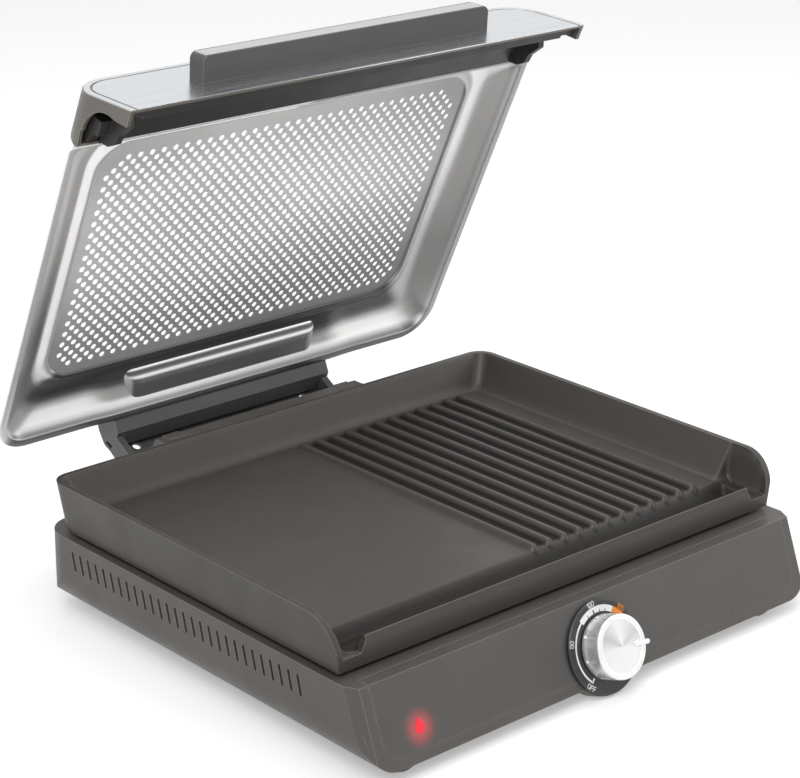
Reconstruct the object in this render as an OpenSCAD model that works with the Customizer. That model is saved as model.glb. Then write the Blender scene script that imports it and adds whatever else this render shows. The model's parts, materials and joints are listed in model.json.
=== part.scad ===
// Electric indoor grill with a hinged lid, millimetres.
// +X is to the right seen from the front, the control face looks along -Y, +Z is up.
// The four feet stand on z = 0 and the origin is the middle of them.
// The lid is drawn closed and turned back about its hinge by lid_open.

/* [Base] */
// Width of the base and of its deck
body_w = 402; // [380:1:430]
// Depth of the deck from its front edge to the rear wall
body_d = 323; // [300:1:350]
// Height of the base from its underside to the deck
body_h = 52; // [46:1:60]
// Height of the feet
foot_h = 10; // [6:0.5:14]
// Diameter of a foot
foot_d = 25; // [18:0.5:32]
// Backward lean of the control face, in degrees
face_tilt = 21.2; // [10:0.1:30]
// Radius of the long lower edges of the base
body_r = 21; // [10:0.5:26]
// Wall of the moulded base
wall = 3; // [2:0.1:4]
// Number of cooling slots in each side
vent_n = 28; // [16:1:32]
// Pitch of the cooling slots
vent_p = 8.75; // [7.5:0.05:9]

/* [Plate] */
// Height of the plate rim above the deck
rim_h = 38.5; // [34:0.5:44]
// Wall of the cast plate
cast_t = 4; // [3:0.1:5]
// Pitch of the griddle ridges
ridge_p = 14.1; // [12:0.1:16]
// Number of ridges, all on the right half
ridge_n = 12; // [8:1:12]
// Height of a ridge above the cooking surface
ridge_h = 3; // [2:0.1:4]

/* [Dial] */
// Diameter of the round dial plate
dial_d = 62; // [54:0.5:64]
// Diameter of the control knob
knob_d = 42.4; // [34:0.2:46]
// Reach of the knob in front of the dial plate
knob_h = 16; // [12:0.5:20]

/* [Lid] */
// Width of the lid over its rim
lid_w = 406; // [390:1:424]
// Angle the lid stands open, in degrees
lid_open = 65.5; // [40:0.5:80]
// Thickness of the lid sheet
sheet_t = 1.2; // [1:0.1:1.6]
// Spacing of the vent holes in a row
hole_p = 9.6; // [9.2:0.1:19.2]
// Diameter of a vent hole
hole_d = 4.4; // [3:0.1:4.8]
// Length of the handle bar
handle_w = 248; // [200:1:280]
// Reach of the handle bar in front of the lid
handle_r = 18; // [14:0.5:24]

/* [Hidden] */
run_fit = 0.05;
part_gap = 0.4;
deck_z = foot_h + body_h;
half_w = body_w / 2;
front_y = -140;
rear_y = front_y + body_d;
foot_x = half_w - 36;
foot_y = 138;
slope = tan(face_tilt);
floor_z = foot_h + wall;
// plate
rim_z = deck_z + rim_h;
plate_hw = half_w + 1;
plate_front = front_y + 18;
nose_r = 25;
front_corner = 1.5;
plate_rear = rear_y - 12;
grill_z = deck_z + 14.3;
cast_z = deck_z + 2.8;
lip_z = deck_z + 17.7;
spout_x = plate_hw - 27.1;
spout_z = lip_z - 6.5;
// dial
dial_drop = 33.7;
dial_t = 3;
shaft_r = 3;
lens_in = 42.2;
lens_drop = 35.3;
// hinge
hinge_y = rear_y + 21.5;
hinge_z = deck_z - 7.5;
pin_r = 4;
tower_hw = 93.5;
arm_t = 5.5;
arm_x = tower_hw + 0.6;
// lid, closed
lid_z = rim_z + 1.5;
lid_rear = plate_rear + 8.4;
lid_hw = lid_w / 2;
lid_front = front_y + 56;
dish_z = lid_z + 16.5;
mesh_z = lid_z + 14.7;
mesh_t = 0.8;
cap_hw = lid_hw - 6;
cap_z = lid_z + 25.7;
cap_low = deck_z + 1;
cap_y = front_y + 0.5;
cap_len = (cap_z - cap_low) / cos(face_tilt);
cap_t = 2.6;
corner_in = cap_hw - 15;
cap_rear = lid_front + 1.6;
cap_back_z = lid_z + 18.5;
cap_corner = 26;
cap_seat = cap_t * cos(face_tilt);
skin_t = 0.8;
grip_drop = 39;
grip_t = 14.2;

// ---- helpers ----

// Frame of the control face: x across, -y outward, z up the face from its top edge.
module on_face() {
    translate([0, front_y, deck_z])
        rotate([-face_tilt, 0, 0])
            children();
}

// Frame of the lid front: x across, -y outward, z up from the lower edge.
module on_cap() {
    translate([0, cap_y, cap_low])
        rotate([-face_tilt, 0, 0])
            children();
}

// Frame of the dial: z points out of the control face at the middle of the dial.
module on_dial() {
    on_face()
        translate([0, 0, -dial_drop])
            rotate([90, 0, 0])
                children();
}

// Turns the closed lid back to the angle it stands at.
module opened() {
    translate([0, hinge_y, hinge_z])
        rotate([-lid_open, 0, 0])
            translate([0, -hinge_y, -hinge_z])
                children();
}

// Draws a side outline given in y and z, and extrudes it along x.
module along_x(x0, x1) {
    translate([x0, 0, 0])
        rotate([90, 0, 90])
            linear_extrude(x1 - x0)
                children();
}

// Rounded rectangle between two corners.
module round_rect(x0, y0, x1, y1, r) {
    union() {
        translate([x0 + r, y0])
            square([x1 - x0 - 2 * r, y1 - y0]);
        translate([x0, y0 + r])
            square([x1 - x0, y1 - y0 - 2 * r]);
        for (x = [x0 + r, x1 - r])
            for (y = [y0 + r, y1 - r])
                translate([x, y])
                    circle(r, $fn = 48);
    }
}

// The base as a closed block, drawn in by t on every side.
module base_block(t) {
    intersection() {
        translate([0, rear_y - t, 0])
            rotate([90, 0, 0])
                linear_extrude(body_d + 60)
                    union() {
                        round_rect(-half_w + t, foot_h + t, half_w - t, deck_z - t, body_r - t);
                        translate([-half_w + t, deck_z - 22])
                            square([body_w - 2 * t, 22 - t]);
                    }
        along_x(-half_w, half_w)
            polygon([
                [front_y + t / cos(face_tilt) + t * slope, deck_z - t],
                [front_y + t / cos(face_tilt) - (body_h - t) * slope, foot_h + t],
                [rear_y - t, foot_h + t],
                [rear_y - t, deck_z - t]
            ]);
        linear_extrude(deck_z + 1)
            union() {
                round_rect(-half_w + t, -120, half_w - t, rear_y - t, 22 - t);
                translate([-half_w + t, front_y - 40])
                    square([body_w - 2 * t, 100]);
            }
    }
}

// Bevels on the two upright front corners.
module corner_bevel(t) {
    for (s = [-1, 1])
        on_face()
            scale([s, 1, 1])
                translate([0, 0, -80])
                    linear_extrude(100)
                        polygon([
                            [half_w - 5.6 - t, -1],
                            [half_w + 2 - t, -1],
                            [half_w + 2 - t, 11],
                            [half_w - t, 8.6]
                        ]);
}

// Outline of the fascia panel on the control face, grown by e.
module fascia_shape(e) {
    union() {
        round_rect(-half_w + 12.4 - e, -48.4 - e, half_w - 12.4 + e, -4, 15 + e);
        translate([-half_w + 12.4 - e, -22])
            square([body_w - 24.8 + 2 * e, 22]);
    }
}

// Inside of the plate well in the deck.
module well(e) {
    round_rect(-half_w + 14 - e, plate_front + 9 - e, half_w - 14 + e, plate_rear - 9 + e, 14 + e);
}

module screw(d, len, head_d, head_h) {
    union() {
        cylinder(h = len, d = d, $fn = 24);
        difference() {
            translate([0, 0, -head_h])
                cylinder(h = head_h, d = head_d, $fn = 32);
            translate([-head_d / 2, -0.4, -head_h - 0.1])
                cube([head_d, 0.8, head_h / 2 + 0.1]);
        }
    }
}

// ---- base ----

cover_hw = half_w - 49;
cover_hd = 124;
boss_at = [[-1, -1], [1, -1], [-1, 1], [1, 1], [-1, 0], [1, 0]];

module base_housing() {
    color([0.37, 0.365, 0.345])
    difference() {
        union() {
            difference() {
                base_block(0);
                base_block(wall);
            }
            // boss behind the lower part of the dial
            intersection() {
                on_dial()
                    translate([0, 0, -9])
                        cylinder(h = 9, d = dial_d + 1.2, $fn = 96);
                translate([-60, front_y - 60, 1])
                    cube([120, 100, foot_h + 7]);
            }
            // rim that stands around the plate well
            translate([0, 0, deck_z - 12])
                linear_extrude(12 - wall + 0.1)
                    difference() {
                        well(wall);
                        well(0);
                    }
        }
        corner_bevel(0);
        // plate well
        translate([0, 0, deck_z - wall - 1])
            linear_extrude(wall + 2)
                well(0);
        // seat of the fascia, its return on the deck and the opening behind it
        on_face()
            rotate([90, 0, 0])
                translate([0, 0, -1.8])
                    linear_extrude(4)
                        fascia_shape(0.3);
        translate([-half_w + 12.1, front_y - 3, deck_z - 1.8])
            cube([body_w - 24.2, 12.3, 4]);
        on_face()
            rotate([90, 0, 0])
                translate([0, 0, -6])
                    linear_extrude(8)
                        round_rect(-half_w + 24, -44, half_w - 24, -6, 8);
        // opening for the bottom cover
        translate([-cover_hw + 6, -cover_hd + 6, foot_h - 1])
            cube([2 * cover_hw - 12, 2 * cover_hd - 12, wall + 2]);
        // cover screws
        for (p = boss_at)
            translate([p[0] * (cover_hw - 3), p[1] * (cover_hd - 12), foot_h - 1])
                cylinder(h = wall + 2, r = 1.5, $fn = 24);
        // cooling slots in both sides
        for (s = [-1, 1])
            for (i = [0 : vent_n - 1])
                along_x(s * half_w - wall - 2, s * half_w + wall + 2)
                    translate([rear_y - 37.4 - vent_p * i, deck_z - 15])
                        rotate(-15)
                            union() {
                                translate([-1.3, -5.9])
                                    square([2.6, 11.8]);
                                for (z = [-5.9, 5.9])
                                    translate([0, z])
                                        circle(1.3, $fn = 24);
                            }
        // tower screws and cord opening in the rear wall
        for (x = [-70, 0, 70])
            translate([x, rear_y + 1, foot_h + 28])
                rotate([90, 0, 0])
                    cylinder(h = wall + 2, r = 2, $fn = 24);
        translate([-150, rear_y + 1, foot_h + 20])
            rotate([90, 0, 0])
                cylinder(h = wall + 2, r = 6.2, $fn = 32);
    }
}

module front_fascia() {
    color([0.36, 0.36, 0.34])
    difference() {
        union() {
            on_face()
                rotate([90, 0, 0])
                    translate([0, 0, -1.8])
                        linear_extrude(1.8)
                            fascia_shape(0);
            // return over the front edge of the deck
            translate([-half_w + 12.4, front_y, deck_z - 1.8])
                cube([body_w - 24.8, 9, 1.8]);
        }
        // clean front plane
        on_face()
            translate([-half_w, -20, -70])
                cube([body_w, 20, 140]);
        // dial shaft and lens openings
        on_dial()
            translate([0, 0, -6])
                cylinder(h = 12, r = 7, $fn = 32);
        for (x = [-18, 18])
            on_dial()
                translate([x, 0, -6])
                    cylinder(h = 12, r = 2, $fn = 24);
        on_face()
            translate([-half_w + lens_in, 5, -lens_drop])
                rotate([90, 0, 0])
                    linear_extrude(12)
                        drop_shape(0.15);
    }
}

module base_cover() {
    color([0.2, 0.2, 0.2])
    difference() {
        translate([-cover_hw, -cover_hd, floor_z])
            cube([2 * cover_hw, 2 * cover_hd, 2]);
        for (x = [-100 : 20 : 100])
            for (y = [-60, 60])
                translate([x - 2, y - 25, floor_z - 1])
                    cube([4, 50, 4]);
        for (p = boss_at)
            translate([p[0] * (cover_hw - 3), p[1] * (cover_hd - 12), floor_z - 1])
                cylinder(h = 4, r = 1.5, $fn = 24);
    }
}

module cover_screws() {
    color([0.5, 0.5, 0.5])
    for (p = boss_at)
        translate([p[0] * (cover_hw - 3), p[1] * (cover_hd - 12), foot_h])
            screw(2.9, wall + 6, 5.6, 1.6);
}

module feet() {
    color([0.12, 0.12, 0.12])
    for (x = [-foot_x, foot_x])
        for (y = [-foot_y, foot_y])
            translate([x, y, 0])
                union() {
                    cylinder(h = 2, d1 = foot_d - 4, d2 = foot_d, $fn = 48);
                    translate([0, 0, 2])
                        cylinder(h = foot_h - 2, d = foot_d, $fn = 48);
                }
}

// ---- heat ----

tray_x = half_w - 22;
tray_y0 = plate_front + 15;
tray_y1 = plate_rear - 13;
tray_z = deck_z - 30;
tray_top = deck_z - 12;
elem_z = tray_z + 10;
elem_r = 3.3;
run_x = half_w - 71;
row_y = [plate_front + 35, plate_front + 95, plate_front + 155, plate_front + 215];

module reflector_tray() {
    color([0.78, 0.78, 0.76])
    difference() {
        union() {
            translate([-tray_x, tray_y0, tray_z])
                cube([2 * tray_x, tray_y1 - tray_y0, tray_top - tray_z]);
            // flange under the rim of the well
            translate([0, 0, tray_top - 1])
                linear_extrude(1)
                    well(2);
        }
        translate([-tray_x + 1, tray_y0 + 1, tray_z + 1])
            cube([2 * tray_x - 2, tray_y1 - tray_y0 - 2, tray_top - tray_z]);
        // passages of the element ends
        for (y = [row_y[0], row_y[3]])
            translate([-tray_x - 1, y, elem_z])
                rotate([0, 90, 0])
                    cylinder(h = 4, r = elem_r + 0.8, $fn = 32);
    }
}

module element_run(x0, x1, y) {
    translate([x0, y, elem_z])
        rotate([0, 90, 0])
            cylinder(h = x1 - x0, r = elem_r, $fn = 32);
}

module element_bend(x, y, s) {
    translate([x, y, elem_z])
        rotate([0, 0, s > 0 ? -90 : 90])
            rotate_extrude(angle = 180, $fn = 64)
                translate([30, 0])
                    circle(elem_r, $fn = 32);
}

module heating_element() {
    color([0.35, 0.34, 0.33])
    union() {
        element_run(-tray_x - 12, run_x, row_y[0]);
        element_run(-run_x, run_x, row_y[1]);
        element_run(-run_x, run_x, row_y[2]);
        element_run(-tray_x - 12, run_x, row_y[3]);
        element_bend(run_x, row_y[0] + 30, 1);
        element_bend(-run_x, row_y[1] + 30, -1);
        element_bend(run_x, row_y[2] + 30, 1);
    }
}

module element_clips() {
    color([0.7, 0.7, 0.68])
    for (x = [-90, 90])
        for (y = row_y)
            difference() {
                translate([x - 5, y - 7, tray_z + 1])
                    cube([10, 14, elem_z - tray_z + elem_r + 1]);
                translate([x - 6, y, elem_z])
                    rotate([0, 90, 0])
                        cylinder(h = 12, r = elem_r + run_fit, $fn = 32);
                translate([x - 6, y - 2, elem_z])
                    cube([12, 4, elem_r + 8]);
            }
}

post_x = half_w - 46;
post_y = [plate_front + 25, plate_rear - 24];

module plate_posts() {
    color([0.85, 0.83, 0.78])
    for (x = [-post_x, post_x])
        for (y = post_y)
            translate([x, y, tray_z + 1])
                cylinder(h = cast_z - tray_z - 1 - part_gap, r = 6, $fn = 32);
}

// ---- cooking plate ----

// Rounded front corner of the side walls, seen from the side.
module side_disc() {
    translate([plate_front + nose_r, rim_z - nose_r])
        circle(nose_r, $fn = 96);
}

// One level of the plate, half as wide as hw, from y0 to y1, with front and rear corner radii.
module cast_level(hw, y0, y1, rf, rr, z) {
    translate([0, 0, z])
        linear_extrude(0.02)
            union() {
                round_rect(-hw, y0, hw, y1 - rr, rf);
                round_rect(-hw, y0 + rf, hw, y1, rr);
            }
}

module cooking_plate() {
    color([0.22, 0.21, 0.2])
    union() {
        difference() {
            intersection() {
                hull() {
                    cast_level(plate_hw - 5.5, plate_front, plate_rear - 5, front_corner, 10, cast_z);
                    cast_level(plate_hw, plate_front, plate_rear, front_corner, 14, rim_z - 0.02);
                }
                along_x(-plate_hw - 1, plate_hw + 1)
                    union() {
                        polygon([
                            [plate_front - 1, cast_z - 1],
                            [plate_front - 1, rim_z - nose_r],
                            [plate_front + nose_r, rim_z - nose_r],
                            [plate_front + nose_r, rim_z + 1],
                            [plate_rear + 1, rim_z + 1],
                            [plate_rear + 1, cast_z - 1]
                        ]);
                        side_disc();
                    }
            }
            // the pan between the walls
            hull() {
                cast_level(plate_hw - 18.5, plate_front + 35.5, plate_rear - 15, 1, 8, grill_z);
                cast_level(plate_hw - cast_t, plate_front + 30, plate_rear - cast_t, 1, 10, rim_z + 0.1);
            }
            // front gutter
            hull() {
                cast_level(plate_hw - 21, plate_front + 8, plate_front + 28, 8, 8, grill_z - 8);
                cast_level(plate_hw - 12, plate_front + cast_t, plate_front + 37, 3, 3, lip_z + 0.1);
            }
            hull() {
                cast_level(plate_hw - 12, plate_front + cast_t, plate_front + 37, 3, 3, lip_z);
                cast_level(plate_hw - cast_t, plate_front - 10, plate_front + 37, 3, 3, rim_z + 0.1);
            }
            // low spouts at the two ends of the front, each with a slanting inner side
            for (s = [-1, 1])
                translate([0, plate_front + 11, 0])
                    rotate([90, 0, 0])
                        linear_extrude(12)
                            polygon([
                                [s * (spout_x + 3.8), spout_z],
                                [s * (plate_hw - 16), spout_z],
                                [s * (plate_hw - 16), rim_z + 20],
                                [s * spout_x, rim_z + 20],
                                [s * spout_x, lip_z]
                            ]);
            // ledges between the gutter and the side walls, open in front
            for (s = [-1, 1])
                translate([0, plate_front + 36, 0])
                    rotate([90, 0, 0])
                        linear_extrude(37)
                            polygon([
                                [s * (plate_hw - 18), spout_z],
                                [s * (plate_hw - 9), spout_z],
                                [s * (plate_hw - cast_t), rim_z + 0.1],
                                [s * (plate_hw - 18), rim_z + 0.1]
                            ]);
            // space under the cooking surface
            translate([0, 0, cast_z - 1])
                linear_extrude(1 + grill_z - cast_z - 5)
                    round_rect(-plate_hw + 34, plate_front + 40, plate_hw - 34, plate_rear - 34, 8);
        }
        // skirt that drops into the well
        translate([0, 0, deck_z - 7])
            linear_extrude(cast_z - deck_z + 7.1)
                difference() {
                    well(-1.2);
                    well(-4.2);
                }
        // ridges on the right half
        for (i = [0 : ridge_n - 1])
            translate([2 + ridge_p * i, 0, grill_z - 0.5])
                union() {
                    translate([0, plate_rear - 24, 0])
                        rotate([90, 0, 0])
                            linear_extrude(plate_rear - 24 - plate_front - 36)
                                polygon([[-3.2, 0], [3.2, 0], [1.4, ridge_h + 0.5], [-1.4, ridge_h + 0.5]]);
                    translate([0, plate_front + 36, 0])
                        cylinder(h = ridge_h + 0.5, r1 = 3.2, r2 = 1.4, $fn = 24);
                }
    }
}

// ---- controls ----

module thermostat() {
    color([0.75, 0.72, 0.62])
    on_dial()
        difference() {
            union() {
                translate([-23, -8, -22])
                    cube([46, 23, 13]);
                for (x = [-18, 18])
                    translate([x, 0, -9])
                        cylinder(h = 9 - 1.8, r = 4, $fn = 32);
                translate([0, 0, -9])
                    cylinder(h = 11, r = 5.5, $fn = 32);
            }
            translate([0, 0, -19])
                cylinder(h = 30, r = shaft_r + run_fit, $fn = 32);
            for (x = [-18, 18])
                translate([x, 0, -14])
                    cylinder(h = 20, r = 1.5, $fn = 24);
        }
}

module thermostat_screws() {
    color([0.6, 0.6, 0.6])
    for (x = [-18, 18])
        on_dial()
            translate([x, 0, 0])
                rotate([180, 0, 0])
                    screw(2.9, 10, 5.6, 1.4);
}

module dial_plate() {
    color([0.14, 0.14, 0.14])
    on_dial()
        difference() {
            union() {
                cylinder(h = dial_t - 0.8, d = dial_d, $fn = 96);
                translate([0, 0, dial_t - 0.8])
                    cylinder(h = 0.8, d1 = dial_d, d2 = dial_d - 1.6, $fn = 96);
            }
            translate([0, 0, -1])
                cylinder(h = dial_t + 2, r = 7, $fn = 32);
            for (x = [-18, 18])
                translate([x, 0, -1])
                    cylinder(h = 2.6, r = 3.2, $fn = 24);
        }
}

module knob_body() {
    color([0.8, 0.8, 0.79])
    on_dial()
        difference() {
            union() {
                difference() {
                    translate([0, 0, dial_t + part_gap])
                        cylinder(h = knob_h, d = knob_d, $fn = 96);
                    // recess of the face
                    translate([0, 0, dial_t + part_gap + knob_h - 0.8])
                        cylinder(h = 2, d = knob_d - 6, $fn = 96);
                    // hollow back
                    translate([0, 0, dial_t + part_gap - 1])
                        cylinder(h = knob_h - 3, d = knob_d - 5, $fn = 64);
                    // finger flutes
                    for (a = [0 : 30 : 330])
                        rotate([0, 0, a + 8])
                            translate([knob_d / 2 - 1, -1.1, dial_t + part_gap + 1.2])
                                cube([2, 2.2, knob_h - 4]);
                }
                cylinder(h = dial_t + knob_h - 2, r = shaft_r, $fn = 32);
                translate([0, 0, -18])
                    cylinder(h = 19, r = shaft_r, $fn = 32);
            }
            translate([-knob_d, shaft_r - 0.8, -19])
                cube([2 * knob_d, 4, 6]);
        }
}

module knob_face() {
    color([0.88, 0.88, 0.87])
    on_dial()
        translate([0, 0, dial_t + part_gap + knob_h - 0.8])
            cylinder(h = 0.8, d = knob_d - 6.2, $fn = 96);
}

module knob_pointer() {
    color([0.9, 0.9, 0.89])
    on_dial()
        rotate([0, 0, -8])
            translate([12, -2.2, dial_t + part_gap + knob_h])
                union() {
                    cube([10, 4.4, 1.6]);
                    translate([10, 2.2, 0])
                        cylinder(h = 1.6, r = 2.2, $fn = 32);
                }
}

// Teardrop outline, 10 high.
module drop_shape(e) {
    union() {
        circle(3.6 + e, $fn = 48);
        polygon([[-3.2 - e, 1.6], [0, 6 + e], [3.2 + e, 1.6]]);
    }
}

module indicator_lens() {
    color([0.9, 0.12, 0.14])
    on_face()
        translate([-half_w + lens_in, 0, -lens_drop])
            rotate([90, 0, 0])
                union() {
                    translate([0, 0, -1.9])
                        linear_extrude(2.3)
                            drop_shape(0);
                    translate([0, 0, -3.6])
                        cylinder(h = 1.8, r = 8, $fn = 48);
                }
}

module indicator_board() {
    color([0.1, 0.35, 0.2])
    on_face()
        translate([-half_w + lens_in, 0, -lens_drop])
            rotate([90, 0, 0])
                union() {
                    translate([-12, -8, -11])
                        cube([24, 14, 1.6]);
                    translate([0, -1, -9.4])
                        cylinder(h = 4.9, r = 1.5, $fn = 24);
                    for (x = [-10.2, 10.2])
                        translate([x, -1, -9.5])
                            cylinder(h = 7.7, r = 1.4, $fn = 24);
                }
}

module terminal_block() {
    color([0.9, 0.89, 0.85])
    difference() {
        translate([-half_w + 30, rear_y - 62, floor_z])
            cube([11, 30, 14]);
        for (i = [0 : 2])
            translate([-half_w + 35.5, rear_y - 57 + 10 * i, floor_z + 4])
                cylinder(h = 12, r = 2.2, $fn = 24);
    }
}

module cord_gland() {
    color([0.1, 0.1, 0.1])
    translate([-150, rear_y, foot_h + 20])
        rotate([-90, 0, 0])
            difference() {
                union() {
                    cylinder(h = 4, r = 8.5, $fn = 48);
                    translate([0, 0, -wall - 2])
                        cylinder(h = wall + 3, r = 6.2 - run_fit, $fn = 48);
                    translate([0, 0, 4])
                        cylinder(h = 8, r1 = 7, r2 = 5.5, $fn = 48);
                }
                translate([0, 0, -10])
                    cylinder(h = 30, r = 3.4, $fn = 32);
            }
}

// ---- hinge ----

tower_z = lid_z - 9;

module hinge_tower() {
    color([0.3, 0.29, 0.28])
    difference() {
        union() {
            along_x(-tower_hw, tower_hw)
                polygon([
                    [rear_y, deck_z - 40],
                    [rear_y + 21, deck_z - 26],
                    [hinge_y + 9, hinge_z],
                    [hinge_y + 6, hinge_z + 14],
                    [hinge_y - 8, tower_z],
                    [rear_y + 2, tower_z],
                    [rear_y + 2, deck_z + 2],
                    [rear_y, deck_z]
                ]);
            // pads on the two ends of the top
            for (s = [-1, 1])
                translate([s * (tower_hw - 14) - 7, rear_y + 6, tower_z])
                    cube([14, 9, 0.5]);
        }
        // hollow underside
        along_x(-tower_hw + 12, tower_hw - 12)
            polygon([
                [rear_y + 4, deck_z - 45],
                [rear_y + 17, deck_z - 33],
                [hinge_y + 4, hinge_z - 4],
                [hinge_y - 12, tower_z - 4],
                [rear_y + 5, tower_z - 4]
            ]);
        for (s = [-1, 1])
            translate([s * (tower_hw - 8), hinge_y, hinge_z])
                rotate([0, s * 90, 0])
                    translate([0, 0, -0.1])
                        cylinder(h = 20, r = pin_r, $fn = 48);
        for (x = [-70, 0, 70])
            translate([x, rear_y - 1, foot_h + 28])
                rotate([-90, 0, 0])
                    cylinder(h = 8, r = 2, $fn = 24);
    }
}

module tower_screws() {
    color([0.6, 0.6, 0.6])
    for (x = [-70, 0, 70])
        translate([x, rear_y - wall, foot_h + 28])
            rotate([-90, 0, 0])
                screw(3.9, wall + 4, 7, 2);
}

module hinge_pins() {
    color([0.75, 0.75, 0.74])
    for (s = [-1, 1])
        translate([s * (tower_hw - 8), hinge_y, hinge_z])
            rotate([0, s * 90, 0])
                union() {
                    cylinder(h = 8 + 0.6 + arm_t + 0.4, r = pin_r, $fn = 48);
                    translate([0, 0, 8 + 0.6 + arm_t + 0.4])
                        cylinder(h = 2, r = pin_r + 2.5, $fn = 48);
                }
}

module hinge_bracket() {
    color([0.13, 0.13, 0.13])
    opened()
        difference() {
            union() {
                along_x(-arm_x - arm_t, arm_x + arm_t)
                    polygon([
                        [lid_rear + 0.4, lid_z],
                        [lid_rear + 6.8, lid_z - 7],
                        [hinge_y - 5, lid_z - 7.5],
                        [hinge_y - 3.5, lid_z + 2],
                        [hinge_y - 0.5, lid_z + 2],
                        [hinge_y - 0.5, hinge_z + 33],
                        [hinge_y + 6.8, hinge_z + 17],
                        [hinge_y + 8.8, hinge_z + 17.6],
                        [hinge_y + 1.5, hinge_z + 33.6],
                        [hinge_y + 1.5, lid_z + 3],
                        [hinge_y - 4, lid_z + 12],
                        [hinge_y - 12, lid_z + 19.5],
                        [lid_rear - 28, lid_z + 19.5],
                        [lid_rear - 28, lid_z + 14.9],
                        [lid_rear - 13.6, lid_z + 9.25],
                        [lid_rear - 6.4, lid_z + sheet_t + 0.1],
                        [lid_rear + 0.4, lid_z + sheet_t]
                    ]);
                for (s = [-1, 1])
                    along_x(s > 0 ? arm_x : -arm_x - arm_t, s > 0 ? arm_x + arm_t : -arm_x)
                        union() {
                            polygon([
                                [hinge_y - 14, lid_z - 5],
                                [hinge_y + 1.5, lid_z - 5],
                                [hinge_y + 9, hinge_z],
                                [hinge_y - 9, hinge_z]
                            ]);
                            translate([hinge_y, hinge_z])
                                circle(9, $fn = 64);
                        }
            }
            // pin bores
            translate([-arm_x - arm_t - 1, hinge_y, hinge_z])
                rotate([0, 90, 0])
                    cylinder(h = 2 * (arm_x + arm_t) + 2, r = pin_r + run_fit, $fn = 48);
            // round windows near both ends
            for (s = [-1, 1])
                translate([s * 79, hinge_y - 4, hinge_z + 39])
                    rotate([-90, 0, 0])
                        cylinder(h = 8, r = 3.2, $fn = 32);
            for (x = [-75, -25, 25, 75])
                translate([x, lid_rear - 21, lid_z + 8])
                    cylinder(h = 11, r = 2, $fn = 24);
        }
}

module bracket_screws() {
    color([0.7, 0.7, 0.7])
    opened()
        for (x = [-75, -25, 25, 75])
            translate([x, lid_rear - 21, lid_z + 9.1])
                screw(3.9, 9, 6.6, 1.4);
}

// Polished cover over the bracket screws, inside the lid.
module hinge_cover() {
    color([0.8, 0.8, 0.8])
    opened()
        difference() {
            along_x(-92, 92)
                polygon([
                    [lid_rear - 11.8, lid_z + 3.2],
                    [lid_rear - 29, lid_z + 6.4],
                    [lid_rear - 36, lid_z + 11.6],
                    [lid_rear - 36, lid_z + 16],
                    [lid_rear - 15.4, lid_z + 7.9]
                ]);
            for (s = [-1, 1])
                translate([s * 92, lid_rear - 45, lid_z - 4])
                    rotate([0, 0, s * -38])
                        translate([s > 0 ? 0 : -30, -40, 0])
                            cube([30, 60, 20]);
            for (x = [-75, -25, 25, 75])
                translate([x, lid_rear - 21, lid_z + 6.6])
                    cylinder(h = 10, r = 3.8, $fn = 24);
        }
}

// ---- lid ----

// One level of the lid dish, grown by e.
module dish_level(k, e, z) {
    translate([0, 0, z])
        linear_extrude(0.02)
            if (k == 0)
                dish_outline(6.4 - e, 3 - e, 8.3 - e, 10 + e);
            else if (k == 1)
                dish_outline(12.5 - e, 7 - e, 14.8 - e, 14 + e);
            else
                dish_outline(31 - e, 11 - e, 36 - e, 24 + e);
}

// Rounded outline inside the lid, inset from its sides, front and rear.
module dish_outline(side, front, rear, r) {
    round_rect(-lid_hw + side, lid_front + front, lid_hw - side, lid_rear - rear, r, $fn = 32);
}

module window_shape(e) {
    round_rect(-160 - e, -63.4 - e, 160 + e, 130 + e, 20 + e);
}

module lid_shell() {
    color([0.72, 0.72, 0.72])
    opened()
        difference() {
            union() {
                translate([0, 0, lid_z])
                    linear_extrude(sheet_t)
                        union() {
                            round_rect(-lid_hw, lid_front, lid_hw, lid_rear, 27);
                            translate([-lid_hw, lid_front])
                                square([lid_w, 60]);
                        }
                hull() {
                    dish_level(0, sheet_t, lid_z);
                    dish_level(1, 1, lid_z + 9);
                }
                hull() {
                    dish_level(1, 1, lid_z + 9);
                    dish_level(2, 0.2, dish_z + sheet_t - 0.02);
                }
            }
            hull() {
                dish_level(0, 0, lid_z - 0.02);
                dish_level(1, 0, lid_z + 8);
            }
            hull() {
                dish_level(1, 0, lid_z + 7.98);
                dish_level(2, 0, dish_z - 0.02);
            }
            // vent window
            translate([0, 0, dish_z - 2])
                linear_extrude(6)
                    window_shape(0);
            for (x = [-75, -25, 25, 75])
                translate([x, lid_rear - 21, lid_z + 4])
                    cylinder(h = 12, r = 2, $fn = 24);
        }
}

module lid_mesh() {
    color([0.6, 0.6, 0.6])
    opened()
        union() {
            // upstand that carries the panel
            translate([0, 0, mesh_z])
                linear_extrude(dish_z - mesh_z)
                    difference() {
                        window_shape(5);
                        window_shape(4);
                    }
            translate([0, 0, mesh_z])
                linear_extrude(mesh_t)
                    difference() {
                        window_shape(4.5);
                        for (r = [0 : floor(180 / (hole_p / 2))])
                            for (i = [-floor(156 / hole_p) - 1 : floor(156 / hole_p) + 1])
                                let (
                                    x = hole_p * (i + (r % 2) / 2),
                                    y = 123.6 - r * hole_p / 2,
                                    k = max(0, abs(x) - 140) + max(0, abs(y - 33.3) - 73)
                                )
                                if (abs(x) < 158 && k < 23)
                                    translate([x, y])
                                        circle(d = hole_d, $fn = 24);
                    }
        }
}

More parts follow.
